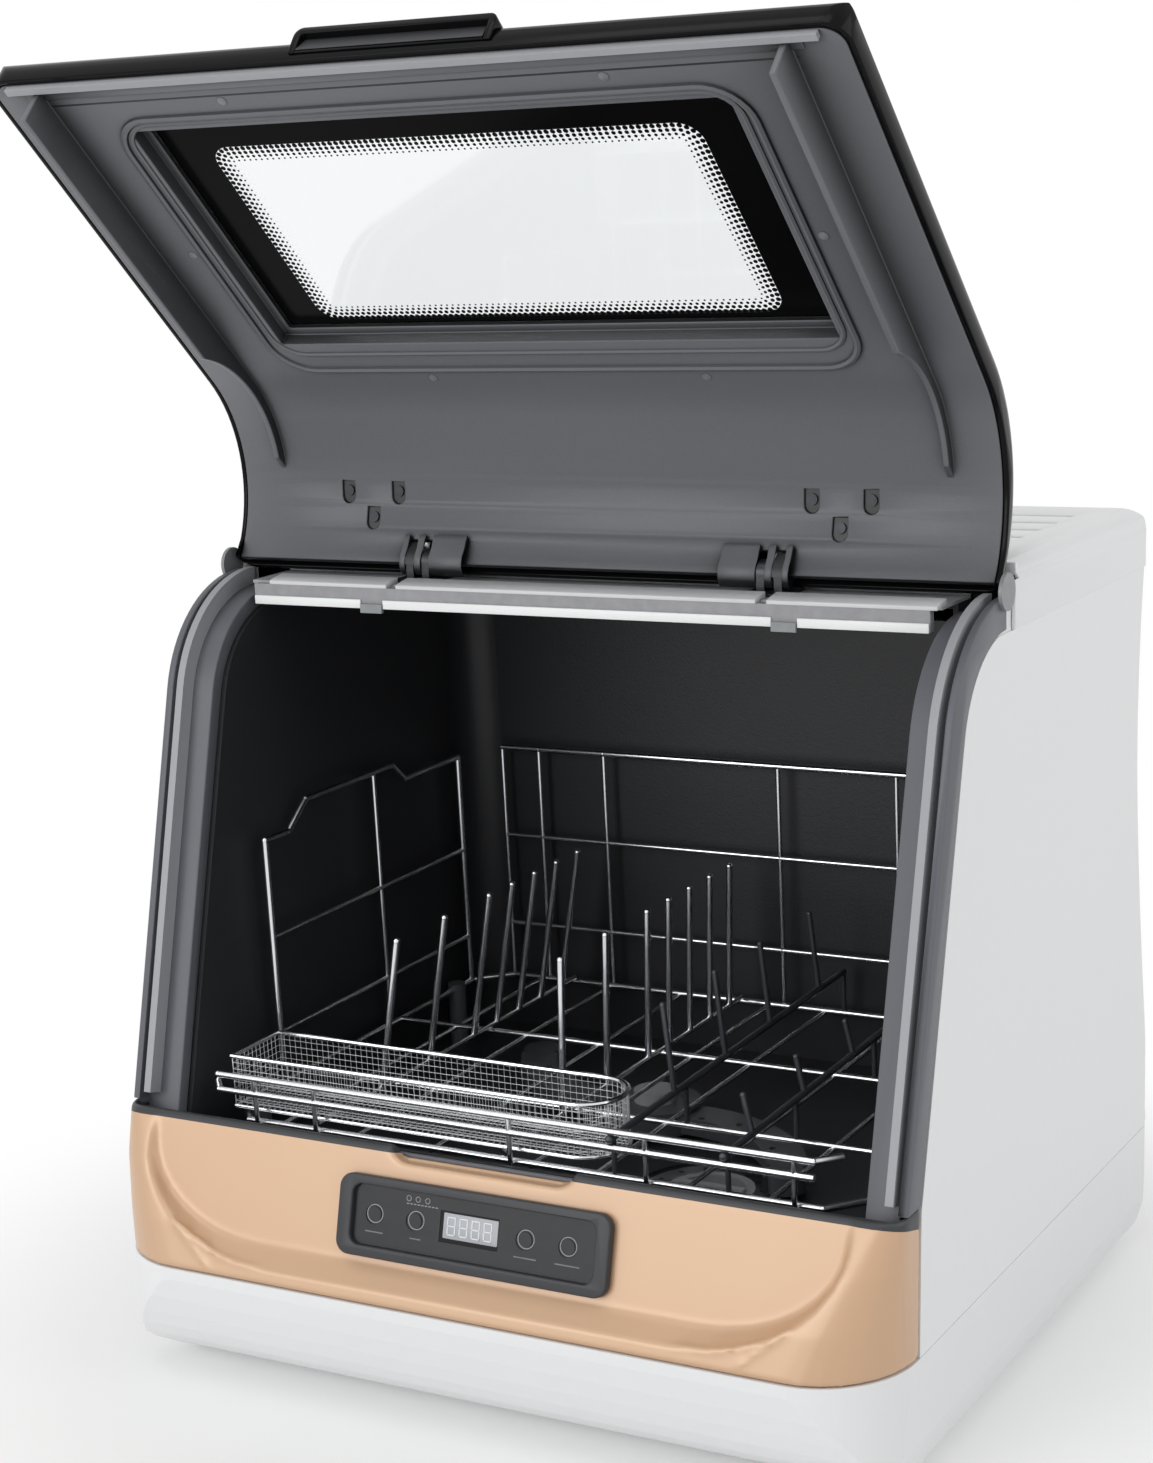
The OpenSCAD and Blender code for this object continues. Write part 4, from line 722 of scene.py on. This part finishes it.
def moulding_marks():
    marks = []
    for x, y in MOULDING_MARKS:
        mark = add_rod("mark", (x, y, LINER_FACE - 0.25), (x, y, LINER_FACE + 0.1),
                       MARK_RADIUS, MARK_SIDES)
        soften(mark, 0.12)
        marks.append(mark)
    finish_piece(join("moulding_marks", marks), liner_pale, "lid", LID)


# Thin matt black D-shaped plates on the liner stand for the shade inside the screw pockets: painted
# shade.
def screw_pocket_shades():
    pockets = []
    for side in (-1, 1):
        for x, angle in SCREW_PLACES:
            pocket = add_block("pocket", (side * x - POCKET_HALF, *POCKET_LOW),
                               (side * x + POCKET_HALF, *POCKET_HIGH))
            round_corners(pocket, POCKET_CORNER, wanted=lambda a, b: upright(a, b) and a.y > 0.001)
            pocket.data.transform(place_at(*BEND_CENTRE) @ tilt(angle - 90))
            pockets.append(pocket)
    finish_piece(join("screw_pocket_shades", pockets), matt_black, "lid", LID)


def hinge_covers():
    """Ribbed moulding over each hinge arm, with a matt black fill between its ribs that stands for
    the shade in the slot: painted shade.
    """
    for side, name in ((-1, "hinge_cover_left"), (1, "hinge_cover_right")):
        ribs = []
        for span in COVER_SPANS:
            low, high = sorted(side * x for x in span)
            rib = add_profile(name, COVER_LINE, low, high)
            soften(rib, 0.25, angle=50)
            ribs.append(rib)
        finish_piece(join(name, ribs), liner_grey, "lid", LID, smooth=50)
        # Matt black fill in the slot between the ribs: painted shade.
        low, high = sorted(side * x for x in COVER_SLOT_SHADE_SPAN)
        slot_shade = add_profile(name + "_slot_shade", COVER_SLOT_SHADE_LINE, low, high)
        finish_piece(slot_shade, matt_black, "lid", LID)


def handle_scoop():
    plate = add_profile("handle_scoop", SCOOP_LINE, *SCOOP_SPAN)
    finish_piece(plate, scoop_grey, "lid", LID)


def liner_steps():
    step = add_block("liner_step", STEP_LOW, STEP_HIGH)
    soften(step, 0.5, 3)
    finish_piece(step, liner_grey, "lid", LID)
    # A thin matt black strip on the liner stands for the shade in the groove: painted shade.
    shade_strip = add_block("liner_groove_shade", GROOVE_SHADE_LOW, GROOVE_SHADE_HIGH)
    finish_piece(shade_strip, matt_black, "lid", LID)


# ---------------------------------------------------------------- seal, ledge and panel corners

LIP_LOW, LIP_HIGH = (137.4, 373.8), (138.7, 378.2)      # y, z
LIP_SPANS = ((-182.5, -118.5), (-105.5, 105.5), (118.5, 182.5))
LEDGE_LINE = ((138.0, 384.0), (138.0, 385.6), (138.5, 386.0), (143.5, 387.0), (149.4, 387.9),
              (149.4, 385.0), (143.5, 385.0), (143.5, 384.0))
LEDGE_SPANS = ((-173, -103.2), (-97.6, 97.6), (103.2, 186.4))
CORNER_LOW, CORNER_HIGH = (148, 366), (172, 384)      # y, z
CORNER_ROUND, CORNER_EDGE = 0.3, 0.1
PANEL_CORNERS = (("panel_corner_left", -209.3, -208.5), ("panel_corner_right", 208.5, 209.3))


def seal_lip():
    strips = []
    for low, high in LIP_SPANS:
        strip = add_block("strip", (low, *LIP_LOW), (high, *LIP_HIGH))
        soften(strip, 0.4)
        strips.append(strip)
    finish_piece(join("seal_lip", strips), bright_plastic, "machine")


def ledge_bars():
    bars = []
    for low, high in LEDGE_SPANS:
        bar = add_profile("bar", LEDGE_LINE, low, high)
        soften(bar, 0.25, angle=40)
        bars.append(bar)
    finish_piece(join("ledge_bars", bars), ledge_white, "machine")


def panel_corners():
    for name, low, high in PANEL_CORNERS:
        corner = round_slab(name, (low, *CORNER_LOW), (high, *CORNER_HIGH), CORNER_ROUND,
                            CORNER_EDGE)
        finish_piece(corner, white_plastic, "machine")


# ---------------------------------------------------------------- cutlery basket

BASKET_LOW, BASKET_HIGH = (-167, 66, 130), (46, 106, 157)
BASKET_CORNER, BASKET_CORNER_STEPS = 19.9, 10
MESH_PITCH, MESH_WIRE = 3.4, 0.48
BASKET_RIMS = ((157, 1.3), (130.8, 0.9))      # level, radius of the bar


def mesh_basket():
    """Open box with one round end, cut into a grid and turned into wire."""
    shell = add_block("basket_mesh", BASKET_LOW, BASKET_HIGH)
    round_corners(shell, BASKET_CORNER, BASKET_CORNER_STEPS, lambda a, b: upright(a, b) and a.x > 0)
    bpy.ops.object.mode_set(mode="EDIT")
    bpy.ops.mesh.select_mode(type="FACE")
    bpy.ops.mesh.select_all(action="DESELECT")
    bpy.ops.object.mode_set(mode="OBJECT")
    for face in shell.data.polygons:
        face.select = face.normal.z > 0.9
    bpy.ops.object.mode_set(mode="EDIT")
    bpy.ops.mesh.delete(type="FACE")
    for axis, (low, high) in enumerate(zip(BASKET_LOW, BASKET_HIGH)):
        normal = [0, 0, 0]
        normal[axis] = 1
        count = round((high - low) / MESH_PITCH)
        for k in range(1, count):
            spot = [0, 0, 0]
            spot[axis] = (low + k * (high - low) / count) * MM
            bpy.ops.mesh.select_all(action="SELECT")
            bpy.ops.mesh.bisect(plane_co=spot, plane_no=normal)
    bpy.ops.object.mode_set(mode="OBJECT")
    apply_modifier(shell, "WIREFRAME", thickness=MESH_WIRE * MM, use_replace=True,
                   use_boundary=True, use_even_offset=False)
    finish_piece(shell, mesh_steel, "basket", MACHINE, ("cutlery_basket",))


def basket_rims():
    middle = [(low + high) / 2 for low, high in zip(BASKET_LOW, BASKET_HIGH)]
    size = [high - low for low, high in zip(BASKET_LOW, BASKET_HIGH)]
    rims = [bent_bar("rim", (middle[0], middle[1], level), size, BASKET_CORNER, bar_radius,
                     BASKET_CORNER_STEPS, lambda point: point.x > 0)
            for level, bar_radius in BASKET_RIMS]
    finish_piece(join("basket_rims", rims), chrome, "basket")


# ---------------------------------------------------------------- softened mouldings

SILL_LINE = 3.0              # width of the dark edge along the top of the front panel
FASCIA_VOXEL = 1.35
FASCIA_SMOOTHING, FASCIA_PASSES = 0.6, 7
SKINS = (("bezel_skin", "control_bezel", "machine", bezel_grey, 0.9, 3),
         ("frame_skin", "front_frame", "machine", dark_frame, 0.7),
         ("liner_skin", "lid_liner", "lid", liner_grey, 0.6),
         ("lid_skin", "lid_shell", "lid", gloss_black, 0.5),
         ("handle_skin", "lid_handle", "lid", gloss_black, 0.45),
         ("cover_skin", "top_cover", "machine", white_plastic, 0.6))


def fascia_skin():
    """Front panel with flowing creases and the dark sill line along its top edge."""
    panel = soft_copy("fascia_skin", "front_fascia", "machine", rose_lacquer, 1.3, 3)
    apply_modifier(panel, "REMESH", mode="VOXEL", voxel_size=FASCIA_VOXEL * MM)
    apply_modifier(panel, "SMOOTH", factor=FASCIA_SMOOTHING, iterations=FASCIA_PASSES)
    up = (FACE.to_3x3() @ Vector((0, 1, 0))).normalized()
    level = FACE @ mm((0, -SILL_LINE, 0))
    bpy.ops.object.mode_set(mode="EDIT")
    bpy.ops.mesh.select_all(action="SELECT")
    bpy.ops.mesh.bisect(plane_co=level, plane_no=up)
    bpy.ops.object.mode_set(mode="OBJECT")
    panel.data.materials.append(sill_dark)
    for face in panel.data.polygons:
        face.material_index = 1 if (face.center - level).dot(up) > 0 else 0
    bpy.ops.object.shade_smooth_by_angle(angle=math.radians(60))


def soft_skins():
    for skin in SKINS:
        soft_copy(*skin)


fascia_skin()
soft_skins()
key_rings()
indicator_marks()
key_underlines()
display()
window_print()
halftone_border()
window_beads()
moulding_marks()
screw_pocket_shades()
hinge_covers()
handle_scoop()
liner_steps()
seal_lip()
ledge_bars()
panel_corners()
mesh_basket()
basket_rims()


# ---------------------------------------------------------------- studio
# Distances in this section are in metres, turns in degrees and lamps in watts.

FLOOR_SIZE = 14
FLOOR_TONES, FLOOR_TONE_SCALE = (0.92, 0.95), 3.0
FLOOR_ROUGHNESS, FLOOR_SPECULAR = 0.8, 0.1
FADE_START, FADE_END, FADE_LEAST = 0.2, 0.5, 0.25      # reach from the middle; least glow
WORLD_LIGHT = 0.5            # strength on the object; the backdrop itself is 1
# name, place, aim, size, power
STUDIO_LAMPS = (("front_softbox", (-0.9, -2.5, 1.0), (0, 0, 0.25), (1.6, 1.6), 24),
               ("side_softbox", (2.2, 0.2, 1.2), (0, 0, 0.2), (1.4, 1.4), 9),
               ("top_softbox", (-0.1, -0.9, 2.4), (0, 0, 0.2), (1.8, 0.8), 8))
CAMERA_YAW, CAMERA_PITCH, CAMERA_ROLL = 29.801, 16.002, -2.859
CAMERA_PLACE = (0.63319, -0.96313 - BODY_DEPTH * MM / 2, 0.58567)
CAMERA_SENSOR, CAMERA_LENS = 36, 66.456      # millimetres
CAMERA_SHIFT = (-0.00904, 0.1331)
FARTHEST_SEEN = 50


def backdrop_rays(tree):
    """1 for the rays that should meet a white backdrop, 0 for those that light the object."""
    path = tree.nodes.new("ShaderNodeLightPath")
    seen = calc(tree, "MAXIMUM", path.outputs["Is Camera Ray"], path.outputs["Is Transmission Ray"])
    return calc(tree, "MAXIMUM", seen, path.outputs["Is Glossy Ray"])


def map_range(tree, value, **ends):
    node = tree.nodes.new("ShaderNodeMapRange")
    for title, end in ends.items():
        node.inputs[title.replace("_", " ")].default_value = end
    tree.links.new(value, node.inputs["Value"])
    return node


def studio_floor():
    clear_selection()
    bpy.ops.mesh.primitive_plane_add(size=FLOOR_SIZE, location=(0, 0, 0))
    floor = bpy.context.object
    floor.name = "floor"
    material = bpy.data.materials.new("pale_floor")
    material.use_nodes = True
    tree = material.node_tree
    shader = tree.nodes["Principled BSDF"]
    shader.inputs["Roughness"].default_value = FLOOR_ROUGHNESS
    shader.inputs["Specular IOR Level"].default_value = FLOOR_SPECULAR
    coords = object_coords(tree)
    low, high = FLOOR_TONES
    tones = map_range(tree, noise(tree, coords, FLOOR_TONE_SCALE), To_Min=low, To_Max=high)
    tree.links.new(tones.outputs["Result"], shader.inputs["Base Color"])
    # Far from the machine the floor runs out into the white backdrop.
    reach = tree.nodes.new("ShaderNodeVectorMath")
    reach.operation = "LENGTH"
    tree.links.new(coords, reach.inputs[0])
    fade = map_range(tree, reach.outputs["Value"], From_Min=FADE_START, From_Max=FADE_END,
                     To_Min=FADE_LEAST)
    fade.interpolation_type = "SMOOTHSTEP"
    seen = calc(tree, "MULTIPLY", fade.outputs["Result"], backdrop_rays(tree))
    glow = tree.nodes.new("ShaderNodeEmission")
    glow.inputs["Strength"].default_value = 1.0
    mix = tree.nodes.new("ShaderNodeMixShader")
    tree.links.new(seen, mix.inputs["Fac"])
    tree.links.new(shader.outputs["BSDF"], mix.inputs[1])
    tree.links.new(glow.outputs["Emission"], mix.inputs[2])
    tree.links.new(mix.outputs["Shader"], tree.nodes["Material Output"].inputs["Surface"])
    floor.data.materials.append(material)


def area_light(name, place, aim, size, power):
    data = bpy.data.lights.new(name, "AREA")
    data.shape = "RECTANGLE"
    data.size, data.size_y = size
    data.energy = power
    light = bpy.data.objects.new(name, data)
    bpy.context.collection.objects.link(light)
    light.location = place
    light.rotation_euler = (Vector(aim) - Vector(place)).to_track_quat("-Z", "Y").to_euler()


def studio_light():
    world = bpy.data.worlds.new("studio")
    bpy.context.scene.world = world
    world.use_nodes = True
    tree = world.node_tree
    background = tree.nodes["Background"]
    backdrop = calc(tree, "MULTIPLY", backdrop_rays(tree), 1 - WORLD_LIGHT)
    background.inputs["Color"].default_value = (1, 1, 1, 1)
    tree.links.new(calc(tree, "ADD", backdrop, WORLD_LIGHT), background.inputs["Strength"])
    for lamp in STUDIO_LAMPS:
        area_light(*lamp)


def view_camera():
    yaw, pitch, roll = (math.radians(turn) for turn in (CAMERA_YAW, CAMERA_PITCH, CAMERA_ROLL))
    level = Vector((math.cos(yaw), math.sin(yaw), 0))
    ahead = Vector((-math.sin(yaw) * math.cos(pitch), math.cos(yaw) * math.cos(pitch),
                    -math.sin(pitch)))
    above = level.cross(ahead)
    across = math.cos(roll) * level + math.sin(roll) * above
    up = -math.sin(roll) * level + math.cos(roll) * above
    data = bpy.data.cameras.new("view_camera")
    data.sensor_width = CAMERA_SENSOR
    data.lens = CAMERA_LENS
    data.shift_x, data.shift_y = CAMERA_SHIFT
    data.clip_end = FARTHEST_SEEN
    camera = bpy.data.objects.new("view_camera", data)
    bpy.context.collection.objects.link(camera)
    turn = Matrix((across, up, -ahead)).transposed().to_4x4()
    camera.matrix_world = Matrix.Translation(CAMERA_PLACE) @ turn
    bpy.context.scene.camera = camera


studio_floor()
studio_light()
view_camera()
bpy.context.scene.view_settings.view_transform = "Standard"
